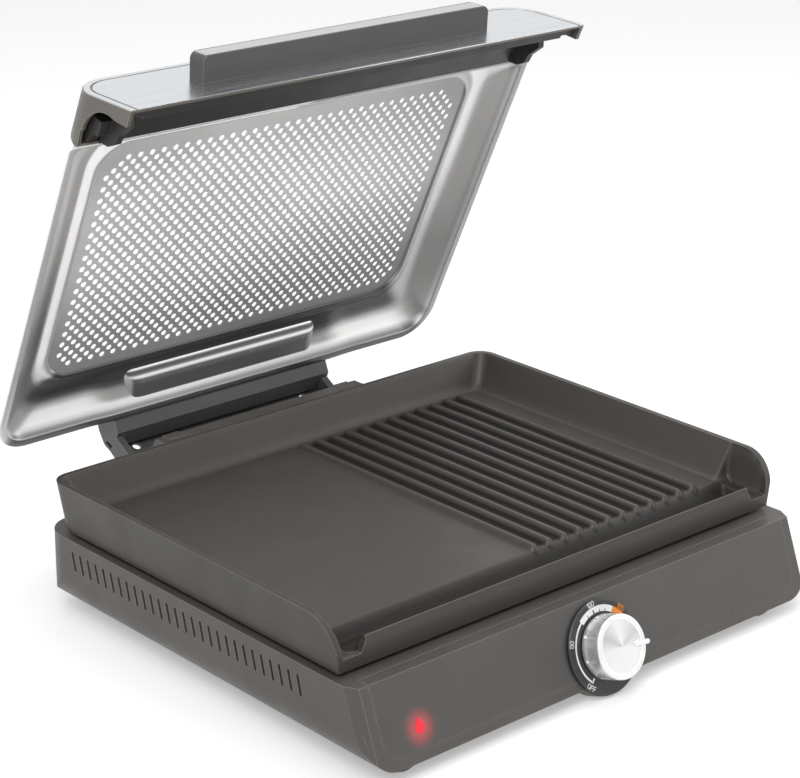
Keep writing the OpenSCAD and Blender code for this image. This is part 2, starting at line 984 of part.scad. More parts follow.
// Side outline of the lid front, closed.
module cap_side() {
    difference() {
        polygon([
            [cap_y, cap_low],
            [cap_y + (cap_z - cap_low) * slope, cap_z],
            [cap_rear, cap_back_z],
            [cap_rear, lid_z + sheet_t],
            [lid_front - part_gap, lid_z + sheet_t],
            [lid_front - part_gap, lid_z + 1],
            [plate_front + nose_r, lid_z + 1.6],
            [plate_front + nose_r, rim_z - nose_r],
            [plate_front - 1.4, rim_z - nose_r],
            [lid_front - 43, cap_low]
        ]);
        // arch that clears the rounded front of the plate
        translate([plate_front + nose_r, rim_z - nose_r])
            circle(nose_r + 1.6, $fn = 96);
    }
}

module cap_front_shape(e) {
    union() {
        round_rect(-cap_hw + e, cap_low - 10, cap_hw - e, cap_z - e, cap_corner - e);
        translate([-cap_hw + e, cap_low - 30])
            square([2 * cap_hw - 2 * e, 60]);
    }
}

module lid_cap() {
    color([0.46, 0.44, 0.41])
    opened()
        difference() {
            intersection() {
                along_x(-cap_hw, cap_hw)
                    cap_side();
                rotate([90, 0, 0])
                    translate([0, 0, -60])
                        linear_extrude(400)
                            cap_front_shape(0);
            }
            // hollow of the cap between its two sides
            intersection() {
                along_x(-cap_hw + cap_t, cap_hw - cap_t)
                    polygon([
                        [cap_y + cap_t - slope, cap_low - 1],
                        [cap_y + cap_t + (cap_z - cap_low - cap_t) * slope, cap_z - cap_t],
                        [cap_rear - cap_t, cap_back_z - cap_t],
                        [cap_rear - cap_t, cap_low - 1]
                    ]);
                rotate([90, 0, 0])
                    translate([0, 0, -60])
                        linear_extrude(400)
                            cap_front_shape(cap_t);
            }
            // seat of the bright skin
            on_cap()
                translate([-cap_hw - 1, -2, -1])
                    cube([2 * cap_hw + 2, 2 + skin_t, cap_len + 8]);
            for (x = [-80, 0, 80])
                on_cap()
                    translate([x, 10, cap_len - grip_drop])
                        rotate([90, 0, 0])
                            cylinder(h = 12, r = 2.1, $fn = 24);
        }
}

module cap_liner() {
    color([0.12, 0.12, 0.12])
    opened()
        difference() {
            along_x(-cap_hw + cap_t, cap_hw - cap_t)
                polygon([
                    [cap_y + 5, cap_low + 4],
                    [cap_y + 12, cap_low + 4],
                    [cap_y + 16, lip_z + 3],
                    [cap_y + 30, lid_z - 8],
                    [lid_front - 1.2, lid_z - 2],
                    [lid_front - 1.2, lid_z - 0.4],
                    [cap_y + 28, lid_z - 5],
                    [cap_y + 14, lip_z + 6],
                    [cap_y + 7, cap_low + 10]
                ]);
            for (s = [-1, 1])
                translate([s * (cap_hw - 5) - 10, cap_y + 10, cap_low - 1])
                    cube([20, 60, 60]);
        }
}

// Black corner blocks in the two ends of the lid front: a part hanging from the liner, and a pad beside it.
module cap_corners() {
    color([0.08, 0.08, 0.08])
    opened()
        for (s = [-1, 1])
            union() {
                along_x(s > 0 ? corner_in - 4.8 : -corner_in - 0.2, s > 0 ? corner_in + 0.2 : 4.8 - corner_in)
                    polygon([
                        [cap_y + 16, lip_z + 3],
                        [cap_y + 27, cap_low + 15],
                        [cap_y + 38, lid_z - 17.4],
                        [cap_y + 44.8, lid_z - 16.5],
                        [cap_y + 50.5, lid_z - 10.7],
                        [lid_front - 2.5, lid_z - 2.32],
                        [cap_y + 30, lid_z - 8]
                    ]);
                along_x(s > 0 ? corner_in : -corner_in - 9, s > 0 ? corner_in + 9 : -corner_in)
                    polygon([
                        [lid_front - 2.5, lid_z + 0.9],
                        [cap_y + 44, lid_z - 3.1],
                        [cap_y + 42, lid_z - 9],
                        [cap_y + 31.5, lid_z - 9],
                        [cap_y + 31.5, lid_z + 2],
                        [cap_y + 40, lid_z + 8],
                        [lid_front - 2.5, lid_z + 8]
                    ]);
            }
}

// Bright skin on the slanting front of the lid, split by a groove.
module skin_shape(e, r) {
    union() {
        round_rect(-cap_hw + e, -30, cap_hw - e, cap_len - e, r);
        translate([-cap_hw + e, -30])
            square([2 * cap_hw - 2 * e, 60]);
    }
}

module on_skin() {
    intersection() {
        on_cap()
            rotate([90, 0, 0])
                translate([0, 0, -skin_t])
                    children();
        along_x(-cap_hw - 1, cap_hw + 1)
            polygon([
                [cap_y - 5, cap_low],
                [cap_y + 60, cap_low],
                [cap_y + 60, cap_z + 2],
                [cap_y - 5, cap_z + 2]
            ]);
    }
}

module cap_frame() {
    color([0.83, 0.85, 0.86])
    opened()
        on_skin()
            linear_extrude(skin_t)
                difference() {
                    skin_shape(0.4, cap_corner + 1);
                    skin_shape(4.2, cap_corner - 2);
                }
}

module cap_inlay() {
    color([0.84, 0.86, 0.87])
    opened()
        difference() {
            on_skin()
                linear_extrude(skin_t)
                    skin_shape(5.6, cap_corner - 3);
            for (x = [-80, 0, 80])
                on_cap()
                    translate([x, 10, cap_len - grip_drop])
                        rotate([90, 0, 0])
                            cylinder(h = 12, r = 2.1, $fn = 24);
        }
}

// Handle bar in the frame of the lid front: root on the skin, reach along -y.
module grip_block(e, y0, y1) {
    translate([0, 0, cap_len - grip_drop])
        translate([0, 0, -grip_t / 2 + e])
            linear_extrude(grip_t - 2 * e)
                union() {
                    round_rect(-handle_w / 2 + e, y0, handle_w / 2 - e, y1, 5);
                    translate([-handle_w / 2 + e, y1 - 8])
                        square([handle_w - 2 * e, 8]);
                }
}

module lid_handle() {
    color([0.36, 0.355, 0.34])
    opened()
        on_cap()
            difference() {
                grip_block(0, -handle_r, 0);
                // seat of the bright strip
                translate([-handle_w / 2 + 3, -handle_r - 1, cap_len - grip_drop - grip_t / 2 + 1.2])
                    cube([handle_w - 6, 1.8, grip_t - 2.4]);
                for (x = [-80, 0, 80])
                    translate([x, 1, cap_len - grip_drop])
                        rotate([90, 0, 0])
                            cylinder(h = 11, r = 1.6, $fn = 24);
            }
}

module handle_strip() {
    color([0.8, 0.79, 0.77])
    opened()
        on_cap()
            translate([-handle_w / 2 + 3, -handle_r, cap_len - grip_drop - grip_t / 2 + 1.2])
                cube([handle_w - 6, 0.8, grip_t - 2.4]);
}

module handle_screws() {
    color([0.6, 0.6, 0.6])
    opened()
        for (x = [-80, 0, 80])
            on_cap()
                translate([x, cap_seat, cap_len - grip_drop])
                    rotate([90, 0, 0])
                        screw(3.1, cap_seat + 9, 6.6, 1.6);
}

base_housing();
front_fascia();
base_cover();
feet();
cover_screws();
reflector_tray();
heating_element();
element_clips();
plate_posts();
cooking_plate();
thermostat();
thermostat_screws();
dial_plate();
knob_body();
knob_face();
knob_pointer();
indicator_lens();
indicator_board();
terminal_block();
cord_gland();
hinge_tower();
tower_screws();
hinge_pins();
hinge_bracket();
bracket_screws();
hinge_cover();
lid_shell();
lid_mesh();
lid_cap();
cap_liner();
cap_corners();
cap_frame();
cap_inlay();
lid_handle();
handle_strip();
handle_screws();
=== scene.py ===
"""Looks of the electric indoor grill: camera, light, materials and the fine pieces laid over the frame."""

import json
import math

import bpy
import numpy as np
from mathutils import Matrix, Vector


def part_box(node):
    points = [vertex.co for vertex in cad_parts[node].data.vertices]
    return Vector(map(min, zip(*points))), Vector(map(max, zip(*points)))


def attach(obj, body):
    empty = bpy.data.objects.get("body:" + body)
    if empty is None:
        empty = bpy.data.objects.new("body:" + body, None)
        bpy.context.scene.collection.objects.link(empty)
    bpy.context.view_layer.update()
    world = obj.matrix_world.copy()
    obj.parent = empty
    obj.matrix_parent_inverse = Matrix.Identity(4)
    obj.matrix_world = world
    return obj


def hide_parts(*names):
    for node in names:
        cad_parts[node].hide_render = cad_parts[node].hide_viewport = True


with open("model.json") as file:
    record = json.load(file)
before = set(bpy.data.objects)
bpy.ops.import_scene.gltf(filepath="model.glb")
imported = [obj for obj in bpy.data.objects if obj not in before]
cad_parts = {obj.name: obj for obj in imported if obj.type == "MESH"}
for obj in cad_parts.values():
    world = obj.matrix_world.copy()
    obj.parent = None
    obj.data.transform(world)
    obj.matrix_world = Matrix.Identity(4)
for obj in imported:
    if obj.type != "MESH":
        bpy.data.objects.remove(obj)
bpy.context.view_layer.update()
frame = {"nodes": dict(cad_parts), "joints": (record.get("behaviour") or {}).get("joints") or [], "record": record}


# ---- material helpers ----

# The cosine of the turn between the flat and the softened normal, from a full painted edge highlight to none.
EDGE_TURN = (0.93, 0.995)
# The colour sockets of a mix node, which share their names with its other sockets.
MIX_A, MIX_B, MIX_RESULT = 6, 7, 2


class Shader:
    """A material under construction: its nodes, its links and its main shader."""

    def __init__(self, name, base, rough, metal=0.0, **sockets):
        self.mat = bpy.data.materials.new(name)
        self.mat.use_nodes = True
        self.tree = self.mat.node_tree
        self.tree.nodes.clear()
        self.out = self.node("ShaderNodeOutputMaterial")
        self.main = self.node(
            "ShaderNodeBsdfPrincipled", Base_Color=(*base, 1.0), Roughness=rough, Metallic=metal, **sockets
        )
        self.link(self.main, "BSDF", self.out, "Surface")
        self.coords = self.node("ShaderNodeTexCoord")

    def node(self, kind, **values):
        """A node with its settings and input values; in an input's name an underscore means a space."""
        made = self.tree.nodes.new(kind)
        for key, value in values.items():
            socket = key.replace("_", " ")
            if socket in made.inputs:
                made.inputs[socket].default_value = value
            else:
                setattr(made, key, value)
        return made

    def link(self, a, out, b, into):
        self.tree.links.new(a.outputs[out], b.inputs[into])

    def rerouted(self, socket, made, into, out):
        """Passes whatever feeds a socket of the main shader through one more node."""
        target = self.main.inputs[socket]
        self.tree.links.new(target.links[0].from_socket, made.inputs[into])
        self.tree.links.new(made.outputs[out], target)

    def mapping(self, scale):
        """Object coordinates scaled along each axis."""
        made = self.node("ShaderNodeMapping", Scale=scale)
        self.link(self.coords, "Object", made, "Vector")
        return made

    def noise(self, scale, detail=3.0, rough=0.5, where=None):
        """Noise over object coordinates, or over the vector of another node."""
        made = self.node("ShaderNodeTexNoise", Scale=scale, Detail=detail, Roughness=rough)
        if where is None:
            self.link(self.coords, "Object", made, "Vector")
        else:
            self.link(where, "Vector", made, "Vector")
        return made

    def ramp(self, source, out, stops):
        """A colour ramp over a factor; stops are (position, colour)."""
        made = self.node("ShaderNodeValToRGB")
        bar = made.color_ramp.elements
        while len(bar) > 1:
            bar.remove(bar[-1])
        bar[0].position, bar[0].color = stops[0][0], (*stops[0][1], 1)
        for place, colour in stops[1:]:
            bar.new(place).color = (*colour, 1)
        self.link(source, out, made, "Fac")
        return made

    def span(self, source, out, low, high, a=0.3, b=0.7):
        """Maps a value from the range a to b onto the range low to high."""
        made = self.node("ShaderNodeMapRange", From_Min=a, From_Max=b, To_Min=low, To_Max=high)
        self.link(source, out, made, "Value")
        return made

    def colour_from(self, noise, dark, light):
        made = self.ramp(noise, "Fac", [(0.3, dark), (0.7, light)])
        self.link(made, "Color", self.main, "Base Color")

    def rough_from(self, noise, low, high):
        made = self.span(noise, "Fac", low, high)
        self.link(made, "Result", self.main, "Roughness")

    def shaded_by(self, attribute):
        """Scales the colour by a value stored at each point of the surface, which holds painted light and shade.
        """
        shade = self.node("ShaderNodeAttribute", attribute_name=attribute)
        scaled = self.node("ShaderNodeVectorMath", operation="SCALE")
        self.link(shade, "Fac", scaled, "Scale")
        self.rerouted("Base Color", scaled, 0, "Vector")
        return shade

    def painted_edge_highlights(self, light, radius):
        """Lightens the colour where the surface turns sharply: a painted highlight along the edges."""
        soft = self.node("ShaderNodeBevel", samples=4, Radius=radius)
        flat = self.node("ShaderNodeNewGeometry")
        turn = self.node("ShaderNodeVectorMath", operation="DOT_PRODUCT")
        self.link(soft, "Normal", turn, 0)
        self.link(flat, "Normal", turn, 1)
        amount = self.span(turn, "Value", 1.0, 0.0, *EDGE_TURN)
        made = self.node("ShaderNodeMix", data_type="RGBA")
        made.inputs[MIX_B].default_value = (*light, 1)
        self.link(amount, "Result", made, "Factor")
        self.rerouted("Base Color", made, MIX_A, MIX_RESULT)

    def bumps(self, noise, strength, depth, radius=0.0004):
        """Fine relief over softened edges."""
        soft = self.node("ShaderNodeBevel", samples=4, Radius=radius)
        made = self.node("ShaderNodeBump", Strength=strength, Distance=depth)
        self.link(noise, "Fac", made, "Height")
        self.link(soft, "Normal", made, "Normal")
        self.link(made, "Normal", self.main, "Normal")


def tone(v, warm=0.0):
    """A near-grey colour, a little warm or cool."""
    return (v * (1 + warm), v, v * (1 - warm))


def moulded(name, v, warm, rough, grain=900.0, depth=0.00006, edge=0.0005):
    """Moulded plastic with a fine spark-eroded grain, faint cloudiness and painted highlights along its sharp
    edges.
    """
    s = Shader(name, tone(v, warm), rough)
    s.colour_from(s.noise(14.0, 3.0), tone(v * 0.92, warm), tone(v * 1.08, warm))
    s.rough_from(s.noise(60.0, 2.0), rough - 0.05, rough + 0.05)
    s.bumps(s.noise(grain, 2.0, 0.6), 0.35, depth, edge)
    # painted highlights along the sharp edges
    s.painted_edge_highlights(tone(v * 3.0, warm), 0.0008)
    return s.mat


def brushed(name, v, warm, rough):
    """Metal with fine straight brush lines that run from left to right."""
    s = Shader(name, tone(v, warm), rough, 1.0)
    lines = s.noise(1.0, 3.0, 0.6, s.mapping((14.0, 2600.0, 2600.0)))
    s.colour_from(lines, tone(v * 0.9, warm), tone(min(1.0, v * 1.1), warm))
    s.rough_from(lines, rough - 0.06, rough + 0.08)
    s.bumps(lines, 0.4, 0.00003, 0.0004)
    return s.mat


def polished(name, v, warm, rough, metal=1.0, attribute=None):
    """Pressed sheet steel with a satin sheen, a soft waviness and faint rub marks.

    A named attribute, where there is one, holds painted light and shade: how bright the sheet is from place to
    place.
    """
    s = Shader(name, tone(v, warm), rough, metal)
    smear = s.noise(7.0, 4.0, 0.55)
    s.colour_from(smear, tone(v * 0.96, warm), tone(min(1.0, v * 1.03), warm))
    if attribute:
        s.shaded_by(attribute)
    s.rough_from(s.noise(30.0, 4.0, 0.6), rough * 0.95, rough * 1.07)
    wave = s.node("ShaderNodeBump", Strength=0.15, Distance=0.0004)
    s.link(s.noise(9.0, 2.0), "Fac", wave, "Height")
    s.link(wave, "Normal", s.main, "Normal")
    return s.mat


def coated(name, v, warm, attribute=None):
    """Non-stick coating: dark, faintly speckled, with an orange-peel skin.

    A named attribute, where there is one, holds painted shade: how much light reaches the hollows. Without one,
    painted highlights run along its sharp edges.
    """
    s = Shader(name, tone(v, warm), 0.42)
    speck = s.noise(1500.0, 2.0, 0.7)
    stops = [(place, tone(v * share, warm)) for place, share in ((0.35, 0.85), (0.62, 1.05), (0.72, 1.9))]
    s.link(s.ramp(speck, "Fac", stops), "Color", s.main, "Base Color")
    s.rough_from(s.noise(25.0, 3.0), 0.36, 0.48)
    s.bumps(s.noise(420.0, 3.0, 0.6), 0.3, 0.00012, 0.0008)
    if attribute:
        shade = s.shaded_by(attribute)
        half = s.node("ShaderNodeMath", operation="MULTIPLY")
        half.inputs[1].default_value = 0.5
        s.link(shade, "Fac", half, 0)
        s.link(half, "Value", s.main, "Specular IOR Level")
    else:
        # painted highlights along the sharp edges
        s.painted_edge_highlights(tone(v * 4.5, warm), 0.0010)
    return s.mat


def turned(name, v, rough, sectors=None):
    """Metal turned on a lathe: fine rings about the dial's axis.

    On a face a painted sheen changes with direction. The sectors are its (turn, brightness) stops round the axis,
    where 0 and 1 point to the left.
    """
    s = Shader(name, tone(v), rough, 0.75)
    arm = s.node("ShaderNodeVectorMath", operation="SUBTRACT")
    arm.inputs[1].default_value = DIAL_AT
    s.link(s.coords, "Object", arm, 0)

    def reach(direction):
        made = s.node("ShaderNodeVectorMath", operation="DOT_PRODUCT")
        made.inputs[1].default_value = direction
        s.link(arm, "Vector", made, 0)
        return made

    pitch = 260.0 if sectors else 1800.0
    rings = s.node("ShaderNodeTexNoise", noise_dimensions="1D", Scale=pitch, Detail=2.0)
    if sectors is None:
        s.link(reach(DIAL_AXIS), "Value", rings, "W")
        s.colour_from(rings, tone(v * 0.95), tone(min(1.0, v * 1.04)))
    else:
        up = (0.0, DIAL_AXIS[2], -DIAL_AXIS[1])
        round_axis = s.node("ShaderNodeMath", operation="ARCTAN2")
        s.link(reach(up), "Value", round_axis, 0)
        s.link(reach((1.0, 0.0, 0.0)), "Value", round_axis, 1)
        turn = s.span(round_axis, "Value", 0.0, 1.0, -math.pi, math.pi)
        painted_sheen = s.ramp(turn, "Result", [(place, tone(level)) for place, level in sectors])
        s.link(turn, "Result", rings, "W")
        streaked = s.node("ShaderNodeVectorMath", operation="SCALE")
        s.link(painted_sheen, "Color", streaked, 0)
        s.link(s.span(rings, "Fac", 0.95, 1.04), "Result", streaked, "Scale")
        s.link(streaked, "Vector", s.main, "Base Color")
    s.rough_from(rings, rough - 0.03, rough + 0.04)
    return s.mat


def perforated(name, warm, rough, metal, upward, across):
    """Perforated sheet with painted light and shade: its brightness changes softly from its lower to its upper
    edge and across it.

    Both are lists of (position, brightness) stops, the second from left to right; it may go above 1.
    """
    s = Shader(name, tone(0.6, warm), rough, metal)
    place = s.node("ShaderNodeSeparateXYZ")
    s.link(s.coords, "Object", place, "Vector")
    height = s.span(place, "Z", 0.0, 1.0, 0.15, 0.35)
    width = s.span(place, "X", 0.0, 1.0, -0.2, 0.2)
    # a ramp holds no colour above 1, so the sweep is scaled down for its ramp and up again behind it
    most = 1.6
    rise = s.ramp(height, "Result", [(at, tone(level, warm)) for at, level in upward])
    sweep = s.ramp(width, "Result", [(at, tone(level / most)) for at, level in across])
    both = s.node("ShaderNodeVectorMath", operation="MULTIPLY")
    s.link(rise, "Color", both, 0)
    s.link(sweep, "Color", both, 1)
    full = s.node("ShaderNodeVectorMath", operation="SCALE", Scale=most)
    s.link(both, "Vector", full, 0)
    top = s.node("ShaderNodeVectorMath", operation="MINIMUM")
    top.inputs[1].default_value = (1.0, 1.0, 1.0)
    s.link(full, "Vector", top, 0)
    s.link(top, "Vector", s.main, "Base Color")
    s.rough_from(s.noise(40.0, 4.0, 0.6), rough - 0.03, rough + 0.03)
    return s.mat


def plain(name, colour, rough, metal=0.0, **sockets):
    """A small part in one colour, with a slight unevenness."""
    s = Shader(name, colour, rough, metal, **sockets)
    dark, light = tuple(c * 0.9 for c in colour), tuple(min(1, c * 1.08) for c in colour)
    s.colour_from(s.noise(45.0, 3.0), dark, light)
    s.bumps(s.noise(300.0, 2.0), 0.25, 0.00005, 0.0003)
    return s.mat


def fascia(lamp_at, reach, colour, strength, *look):
    """The plastic of the control face, with a painted glow: it gives off a soft red light of its own round the
    indicator lamp.
    """
    mat = moulded(*look)
    tree = mat.node_tree
    main = next(n for n in tree.nodes if n.type == "BSDF_PRINCIPLED")
    coords = next(n for n in tree.nodes if n.type == "TEX_COORD")
    far = tree.nodes.new("ShaderNodeVectorMath")
    far.operation = "DISTANCE"
    far.inputs[1].default_value = lamp_at
    tree.links.new(coords.outputs["Object"], far.inputs[0])
    fade = tree.nodes.new("ShaderNodeMapRange")
    fade.interpolation_type = "SMOOTHERSTEP"
    fade.inputs["From Max"].default_value = reach
    fade.inputs["To Min"].default_value = strength
    fade.inputs["To Max"].default_value = 0.0
    tree.links.new(far.outputs["Value"], fade.inputs["Value"])
    main.inputs["Emission Color"].default_value = (*colour, 1)
    tree.links.new(fade.outputs["Result"], main.inputs["Emission Strength"])
    return mat


# ---- sizes read from the frame ----

MM = 0.001
joints = {joint["name"]: joint for joint in frame["joints"]}
HINGE_AT = Vector(joints["lid_hinge"]["pos_m"])
LID_OPEN = math.radians(65.5)
# The rim plane of the closed lid, a little above the plate.
LID_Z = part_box("cooking_plate")[1].z + 1.5 * MM
DIAL_AT = Vector(joints["knob_turn"]["pos_m"])
DIAL_AXIS = joints["knob_turn"]["axis"]
FACE_TILT = math.radians(21.2)
# How far the dial plate's face stands off the control face, in millimetres.
DIAL_FACE = 3.0
lens_lo, lens_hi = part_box("indicator_lens")


# ---- materials, by the record's slots and after them by the finer finishes ----

# The painted glow of the lamp, given off by the plastic round it: how far it reaches, its colour and its strength.
GLOW_REACH, GLOW_RED, GLOW_STRENGTH = 0.016, (1.0, 0.03, 0.05), 0.45

MATERIALS = {
    "housing_plastic": moulded("housing_satin_plastic", 0.073, 0.10, 0.42),
    "fascia_plastic": fascia(
        (lens_lo + lens_hi) / 2, GLOW_REACH, GLOW_RED, GLOW_STRENGTH,
        "fascia_satin_plastic", 0.073, 0.07, 0.4, 1200.0, 0.00003,
    ),
    "dark_plastic": moulded("inner_black_plastic", 0.03, 0.02, 0.5),
    "foot_rubber": moulded("foot_rubber", 0.035, 0.08, 0.75, 500.0, 0.0001, 0.0008),
    "screw_steel": plain("zinc_plated_steel", (0.55, 0.55, 0.54), 0.35, 1.0),
    "tray_steel": brushed("reflector_steel", 0.7, 0.0, 0.28),
    "element_sheath": plain("element_sheath", (0.11, 0.1, 0.1), 0.55, 0.6),
    "ceramic_white": plain("unglazed_ceramic", (0.75, 0.72, 0.65), 0.7),
    "cast_coating": coated("plate_coating", 0.036, 0.14),
    "dial_black": moulded("dial_black_plastic", 0.022, 0.02, 0.38, 1400.0, 0.00003),
    "knob_metal": turned("knob_turned_side", 0.86, 0.3),
    "lens_red": plain(
        "lens_red", (0.25, 0.005, 0.01), 0.2,
        Emission_Color=(0.86, 0.02, 0.04, 1), Emission_Strength=0.85,
    ),
    "board_green": plain("board_laminate", (0.02, 0.13, 0.05), 0.5),
    "lid_steel": polished("lid_pressed_steel", 0.62, 0.01, 0.27),
    # painted light and shade: brighter at mid-height and towards the left
    "mesh_steel": perforated(
        "perforated_steel", 0.01, 0.5, 0.4,
        upward=[(0.1, 0.42), (0.48, 0.85), (0.6, 0.8), (0.8, 0.6)],
        across=[(0.0, 1.2), (0.38, 1.55), (0.85, 0.7), (1.0, 0.62)],
    ),
    "cap_paint": moulded("cap_metallic_paint", 0.13, 0.12, 0.36, 1100.0, 0.00004),
    "inlay_steel": brushed("front_brushed_steel", 0.68, -0.03, 0.24),
    "handle_plastic": moulded("handle_satin_plastic", 0.068, 0.02, 0.38, 1200.0, 0.00003),
    "strip_steel": brushed("handle_strip_steel", 0.56, 0.02, 0.32),
    "hinge_paint": moulded("hinge_black_paint", 0.088, 0.0, 0.42, 700.0),
    # these three carry painted light and shade in their shade attribute
    "pressed_steel": polished("lid_pressing_steel", 1.0, 0.01, 0.3, 0.5, "shade"),
    "cover_steel": polished("hinge_cover_steel", 1.0, 0.01, 0.34, 0.55, "shade"),
    "cooking_coating": coated("cooking_surface_coating", 0.05, 0.10, "shade"),
    # the spun face carries a painted sheen: darker and lighter sectors round its axis
    "spun_metal": turned(
        "knob_spun_face", 0.85, 0.3,
        [(0.0, 0.86), (0.46, 0.86), (0.57, 0.63), (0.75, 0.9), (0.9, 0.58), (1.0, 0.86)],
    ),
    "print_white": plain("dial_print_white", (0.85, 0.85, 0.84), 0.5),
    "print_orange": plain("dial_print_orange", (0.85, 0.25, 0.02), 0.5),
}


# Edges that turn by more than this stay sharp.
SHARP_EDGE = math.radians(28)


def dress_nodes():
    """Gives each node its slot's material and smooth shading that breaks at sharp edges."""
    slots = {part["node"]: part["material_slot"] for part in frame["record"]["subparts"]}
    for name, obj in frame["nodes"].items():
        obj.data.materials.clear()
        obj.data.materials.append(MATERIALS[slots[name]])
        for face in obj.data.polygons:
            face.use_smooth = True
        smooth = obj.modifiers.new("edges", "EDGE_SPLIT")
        smooth.split_angle = SHARP_EDGE


dress_nodes()


# ---- surface helpers ----

def piece(name, verts, faces, body, finish, *stands_for):
    """A finished surface piece with smooth shading.

    It gets its finish, the body it rides on, and the nodes it stands for.
    """
    mesh = bpy.data.meshes.new(name)
    mesh.from_pydata([tuple(v) for v in verts], [], faces)
    mesh.update()
    mesh.shade_smooth()
    mesh.materials.append(MATERIALS[finish])
    made = bpy.data.objects.new(name, mesh)
    bpy.context.scene.collection.objects.link(made)
    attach(made, body)
    if stands_for:
        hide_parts(*stands_for)
    return made


def shaded(made, values):
    """Stores painted light and shade: how bright each point of a piece is, from near black to its full colour."""
    layer = made.data.attributes.new("shade", "FLOAT", "POINT")
    layer.data.foreach_set("value", np.asarray(values, np.float32).ravel())


def grey(level):
    """The reflectance that shows as a given 8-bit grey."""
    return ((np.asarray(level, float) / 255 + 0.055) / 1.055) ** 2.4


def net(rows, cols, wrap_rows=False, wrap_cols=False, start=0, flip=False):
    """Quads joining a rows by cols lattice of points."""
    faces = []
    for i in range(rows if wrap_rows else rows - 1):
        for j in range(cols if wrap_cols else cols - 1):
            a = start + i * cols + j
            b = start + i * cols + (j + 1) % cols
            c = start + ((i + 1) % rows) * cols + (j + 1) % cols
            d = start + ((i + 1) % rows) * cols + j
            faces.append((a, d, c, b) if flip else (a, b, c, d))
    return faces


def opened(points):
    """Turns points of the closed lid back about the hinge to where the lid stands."""
    c, s = math.cos(-LID_OPEN), math.sin(-LID_OPEN)
    p = np.array(points, float)
    y, z = p[..., 1] - HINGE_AT.y, p[..., 2] - HINGE_AT.z
    p[..., 1] = HINGE_AT.y + c * y - s * z
    p[..., 2] = HINGE_AT.z + s * y + c * z
    return p


def on_dial(points):
    """Places points on the tilted control face, given about the dial's middle as (right, up, out) in mm."""
    p = np.array(points, float) * MM
    up = np.array([0, math.sin(FACE_TILT), math.cos(FACE_TILT)])
    out = np.array([0, -math.cos(FACE_TILT), math.sin(FACE_TILT)])
    return (
        np.array(DIAL_AT)
        + p[..., 0:1] * np.array([1.0, 0, 0])
        + p[..., 1:2] * up
        + p[..., 2:3] * out
    )


def round_loop(half, y0, y1, r_front, r_rear, corner=14, side=16):
    """Points round a rectangle whose two front and two rear corners have their own radii."""
    points = []
    corners = [
        (half, y0, r_front, -90),
        (half, y1, r_rear, 0),
        (-half, y1, r_rear, 90),
        (-half, y0, r_front, 180),
    ]
    for k, (x, y, r, a0) in enumerate(corners):
        cx = x - math.copysign(r, x)
        cy = y + r if y == y0 else y - r
        for i in range(corner + 1):
            a = math.radians(a0 + 90 * i / corner)
            points.append((cx + r * math.cos(a), cy + r * math.sin(a)))
        nx, ny, nr, na = corners[(k + 1) % 4]
        na = math.radians(na)
        ex = nx - math.copysign(nr, nx) + nr * math.cos(na)
        ey = (ny + nr if ny == y0 else ny - nr) + nr * math.sin(na)
        px, py = points[-1]
        for i in range(1, side):
            t = i / side
            points.append((px + (ex - px) * t, py + (ey - py) * t))
    return np.array(points)


def smooth_max(a, b, r):
    """The larger of two heights, with a rounded valley of about radius r where they meet."""
    h = np.clip(0.5 + 0.5 * (a - b) / r, 0, 1)
    return b * (1 - h) + a * h + r * h * (1 - h)


def smooth_step(x, a, b):
    """0 up to a, 1 from b on, and an S-shaped rise between them."""
    t = np.clip((x - a) / (b - a), 0, 1)
    return t * t * (3 - 2 * t)


# ---- lid ----

LID_HALF, LID_REAR, LID_FRONT = 203.0, 179.4, -84.0
SHEET_THICKNESS = 0.8
# The hinge bracket: where it ends at each side, over what width the sheet settles beside it, and where
# its seat begins, as an inset and a height.
BRACKET_END, BESIDE_BRACKET = 101.0, 23
SEAT_FROM, SEAT_LOW = 14.8, 8.6
SEAT_SLOPE = 8.5 / 21.2
# The rear part of the lid that the bracket can reach begins between these places.
BRACKET_REACH = (120, 135)

